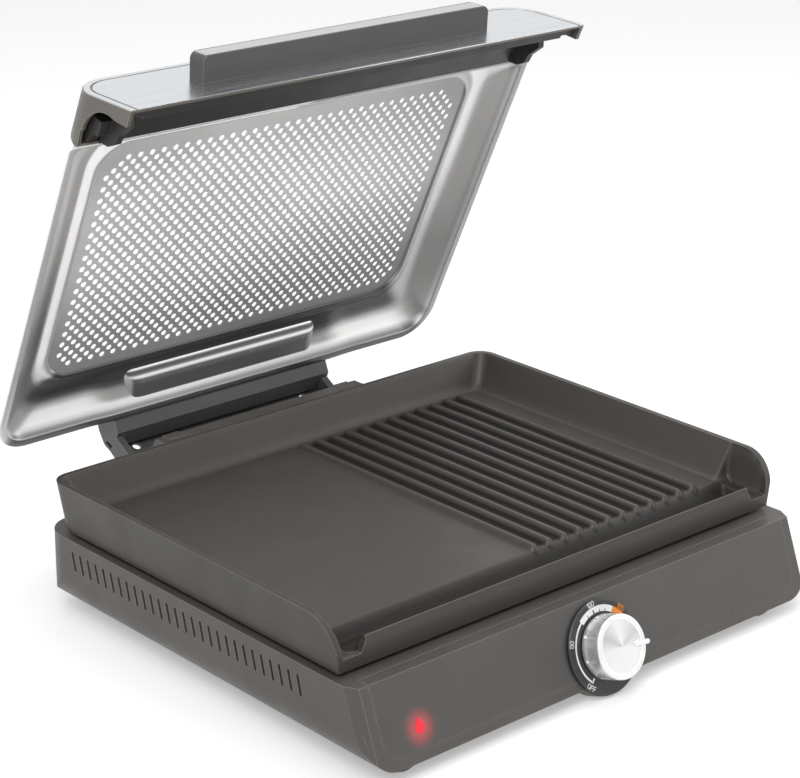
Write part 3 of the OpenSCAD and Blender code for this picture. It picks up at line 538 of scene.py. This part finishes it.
# Closed loops round the lid, from the rim over the inner face to the panel and back over the outer face.
# Each is given by how far it is set in from the rim at the sides, the rear and the front, by its front
# and rear corner radii, and by its height above the rim plane.
LID_STATIONS = [
    (0.0, 0.0, 0.0, 3, 27, 0.9),
    (0.3, 0.3, 0.3, 3, 27, 0.25),
    (1.0, 1.0, 0.8, 3, 26, 0.0),
    (5.2, 6.0, 1.9, 4, 22, 0.0),
    (5.9, 6.7, 2.4, 5, 20, 0.15),
    (6.5, 7.3, 2.8, 6, 19, 0.8),
    (7.2, 8.2, 3.4, 7, 18, 2.4),
    (8.4, 9.6, 4.4, 9, 17.5, 4.5),
    (10.6, 11.9, 5.8, 11, 18, 6.9),
    (13.6, 14.9, 7.2, 14, 19, 9.6),
    (16.8, 17.9, 8.3, 17, 20.5, 12.1),
    (20.0, 21.0, 9.2, 19, 21.5, 14.2),
    (23.2, 24.3, 10.0, 21, 22.5, 15.7),
    (26.4, 27.8, 10.6, 22, 23.5, 16.6),
    (29.5, 31.5, 11.2, 23, 24, 17.0),
    (31.2, 34.5, 11.6, 24, 24.5, 17.0),
    (32.0, 37.0, 12.0, 24, 24.5, 16.6),
    (34.0, 39.4, 13.2, 24, 24.5, 15.0),
    (35.9, 41.6, 14.2, 24, 24.5, 13.5),
    (36.8, 42.6, 15.0, 24, 24.5, 13.1),
    (38.4, 44.4, 16.0, 23.5, 24, 13.2),
    (39.3, 45.6, 16.8, 23, 23.5, 13.9),
    (39.6, 46.0, 17.2, 23, 23.5, 15.0),
    (41.9, 48.3, 19.5, 22, 22, 15.3),
    (41.5, 47.9, 19.1, 22, 22, 15.8),
    (39.5, 45.9, 17.1, 23, 23, 16.9),
    (37.5, 43.9, 15.1, 24, 24, 17.6),
    (33.5, 39.5, 13.0, 24, 24.5, 17.7),
    (27.0, 29.0, 10.2, 22, 23.5, 17.7),
    (19.0, 20.0, 8.9, 19, 22, 15.4),
    (12.8, 14.0, 6.3, 13, 18.5, 10.8),
    (9.3, 10.6, 4.8, 10, 17.5, 7.4),
    (7.2, 8.4, 3.4, 8, 17, 4.8),
    (6.0, 7.0, 2.3, 6, 18, 2.6),
    (5.3, 6.2, 1.8, 5, 20, 1.4),
    (4.2, 5.0, 1.3, 4, 22, 1.2),
    (0.8, 0.8, 0.6, 3, 26.5, 1.2),
]
# The innermost loop: up to it the loops lie on the inner face.
DEEPEST = max(range(len(LID_STATIONS)), key=lambda k: LID_STATIONS[k][0])


def lid_pressing():
    """The pressed sheet of the lid: flange, deep rounded wall, valley and the step up to the panel.

    A net joins the loops of LID_STATIONS, each a rectangle with rounded corners at its own height. Over the
    hinge bracket the wall stays as shallow as the bracket's seat, which rises evenly with the inset.
    """
    rings = []
    for k, (side, back, fore, front_r, rear_r, z) in enumerate(LID_STATIONS):
        loop = round_loop(LID_HALF - side, LID_FRONT + fore, LID_REAR - back, front_r, rear_r, side=48)
        seat = SEAT_LOW + SEAT_SLOPE * (back - SEAT_FROM) if back > SEAT_FROM else z
        if k <= DEEPEST:
            seat -= SHEET_THICKNESS
        by_bracket = 1 - smooth_step(np.abs(loop[:, 0]), BRACKET_END, BRACKET_END + BESIDE_BRACKET)
        by_bracket = by_bracket * smooth_step(loop[:, 1], *BRACKET_REACH)
        level = z - by_bracket * max(0.0, z - seat)
        rings.append(np.column_stack([loop, level]))
    flat = np.array(rings)
    points = opened(flat * MM + np.array([0, 0, LID_Z]))
    rows, cols = points.shape[:2]
    faces = net(rows, cols, True, True)
    made = piece("lid_pressing", points.reshape(-1, 3), faces, "lid", "pressed_steel", "lid_shell")
    # painted light and shade of the sheet
    shaded(made, pressing_shade(flat))


# The painted greys, out of 255, that stand in for the light and shade of the parts of the sheet on each side of
# the rim: the flange, the wall, the valley and the step up to the panel.
PAINTED_SHEET_GREYS = {"rear": (92, 246, 82, 80), "left": (160, 184, 152, 212), "right": (142, 184, 166, 132)}
# How much of the wall's and the valley's painted grey is left at the hinge end of the two sides, a painted shade
# there.
HINGE_END = {"left": 0.66, "right": 0.82}
# The painted highlight, a thin bright line inside the flange, as a grey too.
PAINTED_RIM_HIGHLIGHT = 205
# The share of light that reaches the inner face on the left, on the right and on the right's flange, and
# along the rear from left to right.
LEFT_LIGHT, RIGHT_LIGHT, FLANGE_LIGHT = 0.34, 0.38, 0.66
REAR_LIGHT = [-200, -50, 200], [0.66, 0.56, 1.0]
FLANGE_WIDTH = 6
# The share of the full colour on the outer face, and the least share anywhere.
OUTER_SHADE, DARKEST = 0.62, 0.05


def across_rim(inset, side, deepened=1.0):
    """The painted grey at an inset from the edge: the painted light and shade of the four parts in turn, and a
    painted highlight line inside the flange.
    """
    flange, wall, valley, step = PAINTED_SHEET_GREYS[side]
    level = flange + (wall * deepened - flange) * smooth_step(inset, 7, 12)
    level = level + (valley * deepened - level) * smooth_step(inset, 17, 27)
    level = level + (step - level) * smooth_step(inset, 29.5, 33)
    return level + (PAINTED_RIM_HIGHLIGHT - level) * np.exp(-((inset - 6.7) / 0.45) ** 2)


def pressing_shade(flat):
    """The painted light and shade of the sheet: soft bands that follow the rim, worked out for the rear and for
    each side.

    Each grey is divided by the share of light that reaches its side of the inner face. The outer face
    is even.
    """
    shades = np.full(flat.shape[:2], OUTER_SHADE)
    for k, (side, back, *_) in enumerate(LID_STATIONS[:DEEPEST + 1]):
        x, y = flat[k, :, 0], flat[k, :, 1]
        to_side, to_rear = (LID_HALF - side) - np.abs(x), (LID_REAR - back) - y
        at_rear = smooth_step(to_side - to_rear, -9, 9)
        hinge_end = np.clip(y / 90, 0, 1)
        left = across_rim(side, "left", 1 - (1 - HINGE_END["left"]) * hinge_end)
        right = across_rim(side, "right", 1 - (1 - HINGE_END["right"]) * hinge_end)
        sides = np.where(x < 0, left, right)
        side_light = np.where(x < 0, LEFT_LIGHT, FLANGE_LIGHT if side < FLANGE_WIDTH else RIGHT_LIGHT)
        rear_light = np.interp(x, *REAR_LIGHT)
        side_part = grey(sides) / side_light
        rear_part = grey(across_rim(back, "rear")) / rear_light
        shades[k] = np.clip(side_part * (1 - at_rear) + rear_part * at_rear, DARKEST, 1.0)
    return shades


# The share of its reflectance that the hinge cover shows under the studio light.
COVER_LIGHT = 0.68
# The height at which the cover is cut off, behind the sheet of the lid.
COVER_TOP = 17.4


def hinge_cover_pressing():
    """The soft-edged cover over the hinge screws.

    Its height is the highest of four planes over a fine lattice: the lower face, the upper face, the foot
    by the rim and the sloping ends. The planes are blended where they meet, and the result is cut off level
    behind the sheet of the lid.
    """
    x = np.linspace(-97, 97, 389)
    inset = np.linspace(7.0, 40.0, 133)
    X, V = np.meshgrid(x, inset)
    lower = 4.9 + (V - 12.0) * 0.19
    upper = 7.5 + (V - 25.6) * 1.04
    foot = 4.5 + (11.5 - V) * 2.2
    ends = 6.0 + (np.abs(X) - 86.0 + (V - 12) * 0.16) * np.where(X < 0, 0.8, 1.2)
    height = smooth_max(lower, upper, 3.4)
    height = smooth_max(height, foot, 2.4)
    height = smooth_max(height, ends, 9.0)
    height = np.minimum(height, COVER_TOP)
    points = opened(np.stack([X * MM, (180 - V) * MM, LID_Z + height * MM], -1))
    faces = net(len(inset), len(x), flip=True)
    made = piece("hinge_cover_pressing", points.reshape(-1, 3), faces, "lid", "cover_steel", "hinge_cover")
    # painted light and shade: the two long faces are painted dark and mid grey; the crest, the outer edges and the
    # left end carry painted highlights
    upper_grey, lower_grey, painted_highlight_grey, right_end_grey = 72, 126, 250, 150
    on_upper = smooth_step(upper - lower, -1.0, 1.0)
    level = upper_grey * on_upper + lower_grey * (1 - on_upper)
    crest = np.exp(-((upper - lower - 1.6) / 1.0) ** 2)
    top_edge = np.exp(-((upper - 14.2) / 0.8) ** 2) * on_upper
    low_edge = np.exp(-((foot - lower) / 2.0) ** 2) * (1 - on_upper)
    at_end = smooth_step(ends - np.maximum(lower, upper), -3.0, 0.5)
    level = level + (painted_highlight_grey - level) * np.clip(crest + top_edge + low_edge, 0, 1)
    end_grey = np.where(X < 0, painted_highlight_grey, right_end_grey)
    level = level + (end_grey - level) * at_end * (1 - 0.75 * crest)
    shaded(made, np.clip(grey(level) / COVER_LIGHT, DARKEST, 1.0))


lid_pressing()
hinge_cover_pressing()


# ---- cooking plate ----

RIDGE_PITCH = 14.1
RIDGE_COUNT = 12
FIRST_RIDGE = 2.0
RIDGE_HEIGHT = 3.2
# Half of a ridge's width at its top and at its foot, and where its straight part begins and ends.
RIDGE_TOP, RIDGE_FOOT = 1.2, 4.2
RIDGE_FRONT, RIDGE_REAR = -86.0, 147.0
# Heights of the flat floor, the gutter, the ledges beside the spouts and the rim.
FLOOR_Z, GUTTER_Z, LEDGE_Z, RIM_Z = 76.45, 68.45, 73.35, 100.5
# The foot of the walls: its height, and how far out it lies at the sides and at the rear.
WALL_FOOT_Z, SIDE_FOOT, REAR_FOOT = 76.3, 183.3, 155.8
# How far the walls rise, and how far they lean out over that at the sides and at the rear.
WALL_RISE, SIDE_LEAN, REAR_LEAN = 24.2, 14.5, 11.0
# The sides of the gutter and of its ledges: where each begins, and its slope.
GUTTER_SIDE, GUTTER_SLOPE = 180.8, 1.278
LEDGE_SIDE, LEDGE_SLOPE = 192.8, 5.48
# The front lip: half its length, the place and height of its foot, and its slope.
LIP_HALF, LIP_Y, LIP_FOOT_Z, LIP_SLOPE = 178.5, -113.4, 68.3, 11.4 / 4.0
# The height of the lip's top, and the two spouts at its ends: from where to where they reach at each side,
# how far to the front they begin, and the height of their floor.
LIP_TOP = 79.9
SPOUT_INNER, SPOUT_OUTER, SPOUT_Y, SPOUT_Z = 173, 184, -109.5, 73.0
# The floor falls to the gutter from this place, at this slope.
FALL_FROM, FALL_SLOPE = 88.4, 1.27
# The walls end at the front in an arc about this place, of this radius.
ARC_Y, ARC_R = -97.0, 25.0


def with_ridges(X, Y, Z):
    """Raises the rounded ridges out of a height field; their ends are round too."""
    for i in range(RIDGE_COUNT):
        away = np.abs(X - FIRST_RIDGE - RIDGE_PITCH * i)
        past_end = np.maximum(RIDGE_FRONT - Y, Y - RIDGE_REAR)
        away = np.hypot(away, np.maximum(past_end, 0))
        ridge = FLOOR_Z + RIDGE_HEIGHT * (1 - smooth_step(away, RIDGE_TOP, RIDGE_FOOT))
        Z = np.where(away > RIDGE_FOOT, Z, np.maximum(Z, ridge))
    return Z


def with_walls(X, Y, Z):
    """Raises the sloping side walls, the rear wall and the front lip, with a fillet at their feet."""
    in_gutter = smooth_step(-Y, 85.0, 88.0)
    pan_side = WALL_FOOT_Z + (np.abs(X) - SIDE_FOOT) * (WALL_RISE / SIDE_LEAN)
    gutter_side = np.minimum(GUTTER_Z + (np.abs(X) - GUTTER_SIDE) * GUTTER_SLOPE, LEDGE_Z)
    gutter_side = np.maximum(gutter_side, LEDGE_Z + (np.abs(X) - LEDGE_SIDE) * LEDGE_SLOPE)
    side = pan_side * (1 - in_gutter) + gutter_side * in_gutter
    back = WALL_FOOT_Z + (Y - REAR_FOOT) * (WALL_RISE / REAR_LEAN)
    Z = smooth_max(Z, smooth_max(side, back, 14.0), 7.0 - 3.5 * in_gutter)
    lip = np.where(np.abs(X) < LIP_HALF, LIP_FOOT_Z + (LIP_Y - Y) * LIP_SLOPE, -1e3)
    return smooth_max(Z, lip, 3.0)


# How much of the light is lost at the bottom of the gaps between the ridges.
RIDGE_SHADOW = 0.72


def hollow_light(X, Y, Z):
    """How much light reaches each point: less in the gutter and least between the ridges."""
    light = np.interp(Z, [68.5, 72.0, 75.6, 76.3], [0.30, 0.42, 0.75, 1.0])
    light = np.where(Y < -108, np.maximum(light, np.interp(Z, [70, 79], [0.5, 1.0])), light)
    among = smooth_step(X, -3, 4) * (1 - smooth_step(X, 158, 166))
    among = among * smooth_step(Y, -89, -84) * (1 - smooth_step(Y, 146, 152))
    low_down = 1 - smooth_step(Z, FLOOR_Z + 0.3, FLOOR_Z + 2.9)
    return light * (1 - RIDGE_SHADOW * among * low_down)


def griddle_lining():
    """The cooking surface as a height field over a lattice that is finer where the surface bends.

    The flat floor falls to the gutter at the front; ridges and walls are raised from it. The field is cut
    off at the rim, above the front lip, and at the two spouts.
    """
    xs = np.unique(np.concatenate([
        np.linspace(-198.2, -166, 34), np.linspace(-166, -4, 55),
        np.linspace(-4, 166, 341), np.linspace(166, 198.2, 34),
    ]))
    ys = np.unique(np.concatenate([
        np.linspace(-117.9, -76, 64), np.linspace(-76, 138, 72), np.linspace(138, 167.2, 34),
    ]))
    X, Y = np.meshgrid(xs, ys)
    fall = FLOOR_Z - (-Y - FALL_FROM) * FALL_SLOPE
    Z = smooth_max(-smooth_max(-FLOOR_Z, -fall, 1.0), GUTTER_Z, 4.0)
    Z = with_walls(X, Y, with_ridges(X, Y, Z))
    along_arc = np.minimum(ARC_Y - Y, ARC_R - 0.1)
    arc = RIM_Z - ARC_R + np.sqrt(np.maximum(ARC_R**2 - along_arc**2, 0))
    top = np.where(Y < ARC_Y, arc, RIM_Z)
    outward = np.abs(X)
    over_lip = (Z > LIP_TOP) & (Y <= -100) & (outward <= SPOUT_OUTER)
    in_spout = (outward > SPOUT_INNER) & (outward < SPOUT_OUTER + 0.2) & (Y < SPOUT_Y) & (Z > SPOUT_Z)
    keep = (Z <= top + 0.2) & ~over_lip & ~in_spout
    Z = np.minimum(Z, top)
    points = np.stack([X, Y, Z], -1) * MM
    faces = [face for face in net(*X.shape) if any(keep.flat[corner] for corner in face)]
    made = piece("griddle_lining", points.reshape(-1, 3), faces, "plate", "cooking_coating")
    shaded(made, hollow_light(X, Y, Z))


griddle_lining()


# ---- knob and dial ----

KNOB_R = 21.2
GROOVES = 8
FIRST_GROOVE = 11.0
# The depth of a groove, and half its width at its bottom and at its edge.
GROOVE_DEPTH, GROOVE_BOTTOM, GROOVE_EDGE = 0.9, 0.5, 1.3
POINTER_TURN = -7.5
# How far the rim of the knob and the middle of its spun face stand out.
KNOB_OUT, CONE_OUT = 19.2, 19.25
# The radius of the spun face, and how far it falls from its middle to its edge.
CONE_R, CONE_FALL = 17.3, 0.85

# Rings of the knob's skirt from its foot over its side and rim to its face: radius, distance out, and
# how deep the grooves are there, from 0 to 1.
SKIRT = [
    (5.0, 3.6, 0), (20.6, 3.6, 0), (21.0, 3.8, 0), (21.2, 4.2, 0),
    (21.2, 5.4, 0), (21.2, 6.0, 0.4), (21.2, 6.6, 1), (21.2, 14.6, 1), (21.2, 15.2, 0.4), (21.2, 15.8, 0),
    (21.2, 17.6, 0), (21.05, 18.4, 0), (20.6, 19.0, 0), (20.0, 19.35, 0), (19.2, 19.4, 0),
    (17.9, 19.3, 0), (17.4, 19.0, 0), (17.2, 18.5, 0), (16.9, 18.4, 0),
]


def ringed(name, rings, finish, node, flip=False):
    """A piece of the knob from closed rings of points given as (right, up, out) in millimetres."""
    points = on_dial(rings)
    faces = net(*points.shape[:2], wrap_cols=True, flip=flip)
    return piece(name, points.reshape(-1, 3), faces, "knob", finish, node)


def knob_shell():
    """The knob's skirt, turned about its axis and grooved along its side in eight places."""
    a = np.linspace(0, 2 * math.pi, 360, endpoint=False)
    step = 2 * math.pi / GROOVES
    from_groove = (a - math.radians(FIRST_GROOVE) + step / 2) % step - step / 2
    groove = GROOVE_DEPTH * (1 - smooth_step(np.abs(from_groove) * KNOB_R, GROOVE_BOTTOM, GROOVE_EDGE))
    rings = []
    for r, out, deep in SKIRT:
        reach = r - groove * deep
        rings.append(np.stack([reach * np.cos(a), reach * np.sin(a), np.full(len(a), out)], -1))
    return ringed("knob_shell", rings, "knob_metal", "knob_body")


def knob_disc():
    """The shallow spun cone set in the knob's face."""
    a = np.linspace(0, 2 * math.pi, 96, endpoint=False)
    rings = []
    for r in [0.0, *np.linspace(0.6, CONE_R, 16)]:
        out = CONE_OUT - CONE_FALL * r / CONE_R
        rings.append(np.stack([r * np.cos(a), r * np.sin(a), np.full(len(a), out)], -1))
    return ringed("knob_disc", rings, "spun_metal", "knob_face", flip=True)


def knob_nub():
    """The pointer: a rounded bar that lies across the rim of the knob, from ellipses along its length."""
    inner, outer, r = 12.6, 22.3, 1.75
    ellipses = [(inner - r * math.cos(a) * 0.9, r * math.sin(a)) for a in np.linspace(0, math.pi / 2, 7)]
    ellipses += [(inner + (outer - inner) * t, r) for t in np.linspace(0.05, 0.95, 8)]
    ellipses += [(outer + r * math.cos(a), r * math.sin(a)) for a in np.linspace(math.pi / 2, 0, 9)]
    b = np.linspace(0, 2 * math.pi, 24, endpoint=False)
    c, s = math.cos(math.radians(POINTER_TURN)), math.sin(math.radians(POINTER_TURN))
    rings = []
    for along, half in ellipses:
        across = half * np.cos(b)
        out = KNOB_OUT + 1.5 * (half / r) * np.sin(b)
        rings.append(np.stack([along * c - across * s, along * s + across * c, out], -1))
    return ringed("knob_nub", rings, "knob_metal", "knob_pointer", flip=True)


# Strokes of the few characters on the dial, on a field 2 wide and 3 high.
STROKES = {
    "O": [[
        (0.0, 0.6), (0.0, 2.4), (0.5, 3.0), (1.5, 3.0), (2.0, 2.4),
        (2.0, 0.6), (1.5, 0), (0.5, 0), (0.0, 0.6),
    ]],
    "F": [[(0.0, 0.0), (0.0, 3.0), (1.8, 3.0)], [(0.0, 1.55), (1.5, 1.55)]],
    "0": [[
        (0.0, 0.7), (0.0, 2.3), (0.4, 3.0), (1.4, 3.0), (1.8, 2.3),
        (1.8, 0.7), (1.4, 0), (0.4, 0), (0.0, 0.7),
    ]],
    "1": [[(0.1, 2.4), (0.8, 3.0), (0.8, 0.0)]],
    "2": [[(0.0, 2.3), (0.4, 3.0), (1.4, 3.0), (1.8, 2.4), (1.7, 1.8), (0.0, 0.0), (1.8, 0.0)]],
    "6": [[
        (1.6, 3.0), (0.7, 2.6), (0.0, 1.4), (0.0, 0.6), (0.4, 0), (1.4, 0),
        (1.8, 0.5), (1.8, 1.2), (1.4, 1.7), (0.4, 1.7), (0.05, 1.2),
    ]],
    "8": [[
        (0.4, 1.6), (0.1, 2.1), (0.1, 2.6), (0.5, 3.0), (1.3, 3.0), (1.7, 2.6), (1.7, 2.1), (1.4, 1.6),
        (0.4, 1.6), (0.0, 1.1), (0.0, 0.5), (0.4, 0), (1.4, 0), (1.8, 0.5), (1.8, 1.1), (1.4, 1.6),
    ]],
}
WIDTHS = {"O": 2.0, "F": 1.8, "0": 1.8, "1": 0.8, "2": 1.8, "6": 1.8, "8": 1.8}
CHARACTER_GAP = 0.7


class Print:
    """Flat printed marks gathered into one piece, lifted off the dial plate by a hair."""

    def __init__(self, lift):
        self.out = DIAL_FACE + lift
        self.verts, self.faces = [], []

    def quad(self, corners):
        start = len(self.verts)
        self.verts += [(x, y, self.out) for x, y in corners]
        self.faces.append(tuple(range(start, start + 4)))

    def arc(self, r0, r1, a0, a1):
        """A band between two radii from angle a0 to a1, in degrees."""
        n = max(1, int(abs(a1 - a0) / 2))
        for i in range(n):
            p, q = (math.radians(a0 + (a1 - a0) * k / n) for k in (i, i + 1))
            self.quad([(r0 * math.cos(p), r0 * math.sin(p)), (r1 * math.cos(p), r1 * math.sin(p)),
                       (r1 * math.cos(q), r1 * math.sin(q)), (r0 * math.cos(q), r0 * math.sin(q))])

    def stroke(self, start, end, weight, overrun=0.0):
        """A straight line of a given weight, run on a little past both of its ends."""
        (x0, y0), (x1, y1) = start, end
        size = math.hypot(x1 - x0, y1 - y0) or 1
        dx, dy = (x1 - x0) / size, (y1 - y0) / size
        x0, y0, x1, y1 = x0 - dx * overrun, y0 - dy * overrun, x1 + dx * overrun, y1 + dy * overrun
        ex, ey = dy * weight / 2, -dx * weight / 2
        self.quad([(x0 + ex, y0 + ey), (x1 + ex, y1 + ey), (x1 - ex, y1 - ey), (x0 - ex, y0 - ey)])

    def tick(self, r0, r1, angle, width):
        """A line along a radius."""
        a = math.radians(angle)
        ends = [(r * math.cos(a), r * math.sin(a)) for r in (r0, r1)]
        self.stroke(*ends, width)

    def word(self, text, r, angle, inward=False, height=3.0, weight=0.6):
        """Characters along the circle of radius r about an angle, with their heads outward or inward."""
        k = height / 3
        side = 1 if inward else -1
        along = -(sum(WIDTHS[ch] for ch in text) + (len(text) - 1) * CHARACTER_GAP) * k / 2
        for ch in text:
            for line in STROKES[ch]:
                points = []
                for u, v in line:
                    a = math.radians(angle) + side * (along + u * k) / r
                    reach = r - side * (v * k - height / 2)
                    points.append((reach * math.cos(a), reach * math.sin(a)))
                for start, end in zip(points, points[1:]):
                    self.stroke(start, end, weight, weight / 2)
            along += (WIDTHS[ch] + CHARACTER_GAP) * k

    def finish(self, name, finish):
        return piece(name, on_dial(self.verts), self.faces, "base", finish)


def dial_marks():
    """The printed scale: a thin arc from off to 80, a broad band to 160 and its orange end."""
    off, low, hot, end = 227, 127, 58, 35
    white, orange, notches = Print(0.06), Print(0.06), Print(0.11)
    white.arc(24.7, 26.0, off, low)
    white.tick(22.2, 26.0, off, 1.1)
    white.arc(23.0, 27.1, low, hot)
    orange.arc(23.0, 27.1, hot, end)
    white.word("OFF", 28.8, 228, inward=True)
    white.word("80", 29.0, 161)
    white.word("120", 29.4, 98)
    orange.word("160", 29.4, 44)
    for angle, width, length in [(111, 0.6, 1.7), (97, 1.1, 2.3), (84, 0.6, 1.7), (72, 0.6, 1.7)]:
        notches.tick(22.8, 23.0 + length, angle, width)
    white.finish("dial_scale", "print_white")
    orange.finish("dial_scale_hot", "print_orange")
    notches.finish("dial_scale_notches", "dial_black")


knob_shell()
knob_disc()
knob_nub()
dial_marks()


# ---- stage ----

FLOOR_HALF = 6.0
# How much light of its own the floor adds where it is seen directly.
FLOOR_LIFT = 0.36


def seen_directly(tree):
    """1 for rays from the eye and for rays off metal or through glass, and 0 for all others."""
    path = tree.nodes.new("ShaderNodeLightPath")
    first, both = (tree.nodes.new("ShaderNodeMath") for _ in range(2))
    for made in (first, both):
        made.operation = "MAXIMUM"
    tree.links.new(path.outputs["Is Camera Ray"], first.inputs[0])
    tree.links.new(path.outputs["Is Glossy Ray"], first.inputs[1])
    tree.links.new(first.outputs[0], both.inputs[0])
    tree.links.new(path.outputs["Is Transmission Ray"], both.inputs[1])
    return both.outputs[0]


def floor_white():
    """A pale matt floor that keeps the object's shadow and is lifted to white where it is seen directly."""
    mat = bpy.data.materials.new("floor_white")
    mat.use_nodes = True
    tree = mat.node_tree
    matt = tree.nodes["Principled BSDF"]
    matt.inputs["Base Color"].default_value = (0.8, 0.8, 0.8, 1)
    matt.inputs["Roughness"].default_value = 0.9
    glow = tree.nodes.new("ShaderNodeEmission")
    lift = tree.nodes.new("ShaderNodeMath")
    lift.operation = "MULTIPLY"
    lift.inputs[1].default_value = FLOOR_LIFT
    tree.links.new(seen_directly(tree), lift.inputs[0])
    tree.links.new(lift.outputs[0], glow.inputs["Strength"])
    both = tree.nodes.new("ShaderNodeAddShader")
    tree.links.new(matt.outputs[0], both.inputs[0])
    tree.links.new(glow.outputs[0], both.inputs[1])
    tree.links.new(both.outputs[0], tree.nodes["Material Output"].inputs["Surface"])
    return mat


def lay_floor():
    """A square floor on the plane that the feet stand on."""
    f = FLOOR_HALF
    mesh = bpy.data.meshes.new("floor")
    mesh.from_pydata([(-f, -f, 0), (f, -f, 0), (f, f, 0), (-f, f, 0)], [], [(0, 1, 2, 3)])
    mesh.materials.append(floor_white())
    floor = bpy.data.objects.new("floor", mesh)
    bpy.context.scene.collection.objects.link(floor)


def softbox(name, at, aim, size, power):
    """A broad soft light that faces a point."""
    light = bpy.data.lights.new(name, "AREA")
    light.shape = "RECTANGLE"
    light.size, light.size_y = size
    light.energy = power
    made = bpy.data.objects.new(name, light)
    bpy.context.scene.collection.objects.link(made)
    made.location = at
    made.rotation_euler = (Vector(aim) - Vector(at)).to_track_quat("-Z", "Y").to_euler()


def light_world(unseen, seen):
    """An even white surround: one strength as a light, and another where it is seen directly."""
    world = bpy.data.worlds.new("studio")
    bpy.context.scene.world = world
    world.use_nodes = True
    tree = world.node_tree
    surround = tree.nodes["Background"]
    surround.inputs["Color"].default_value = (1, 1, 1, 1)
    strength = tree.nodes.new("ShaderNodeMapRange")
    strength.inputs["To Min"].default_value = unseen
    strength.inputs["To Max"].default_value = seen
    tree.links.new(seen_directly(tree), strength.inputs["Value"])
    tree.links.new(strength.outputs["Result"], surround.inputs["Strength"])


lay_floor()
softbox("key_box", (-1.4, -1.0, 1.9), (0, 0, 0.1), (1.2, 1.2), 24)
softbox("top_box", (0.2, 0.3, 2.2), (0, 0, 0.1), (1.8, 1.4), 16)
softbox("right_box", (1.9, -1.0, 1.0), (0, 0, 0.15), (0.8, 1.4), 7)
light_world(unseen=0.5, seen=1.0)
bpy.context.scene.view_settings.view_transform = "Standard"


# ---- camera ----

CAMERA_AT = (-1.02803, -1.08787, 0.71866)
CAMERA_RIGHT = Vector((0.75164026, -0.6595606, 0.00409188))
CAMERA_UP = Vector((0.23194487, 0.27012354, 0.93447036))
CAMERA_AHEAD = Vector((0.61744514, 0.70143645, -0.35601743))


def place_camera():
    """The eye, from its place and its three directions, with the frame shifted to set the object in it."""
    lens = bpy.data.cameras.new("camera")
    lens.sensor_width = 36.0
    lens.lens = 107.95
    lens.shift_x, lens.shift_y = 0.0460, 0.0260
    lens.clip_start, lens.clip_end = 0.01, 50
    camera = bpy.data.objects.new("camera", lens)
    bpy.context.scene.collection.objects.link(camera)
    turn = Matrix((CAMERA_RIGHT, CAMERA_UP, -CAMERA_AHEAD)).transposed()
    camera.matrix_world = Matrix.Translation(CAMERA_AT) @ turn.to_4x4()
    bpy.context.scene.camera = camera


place_camera()
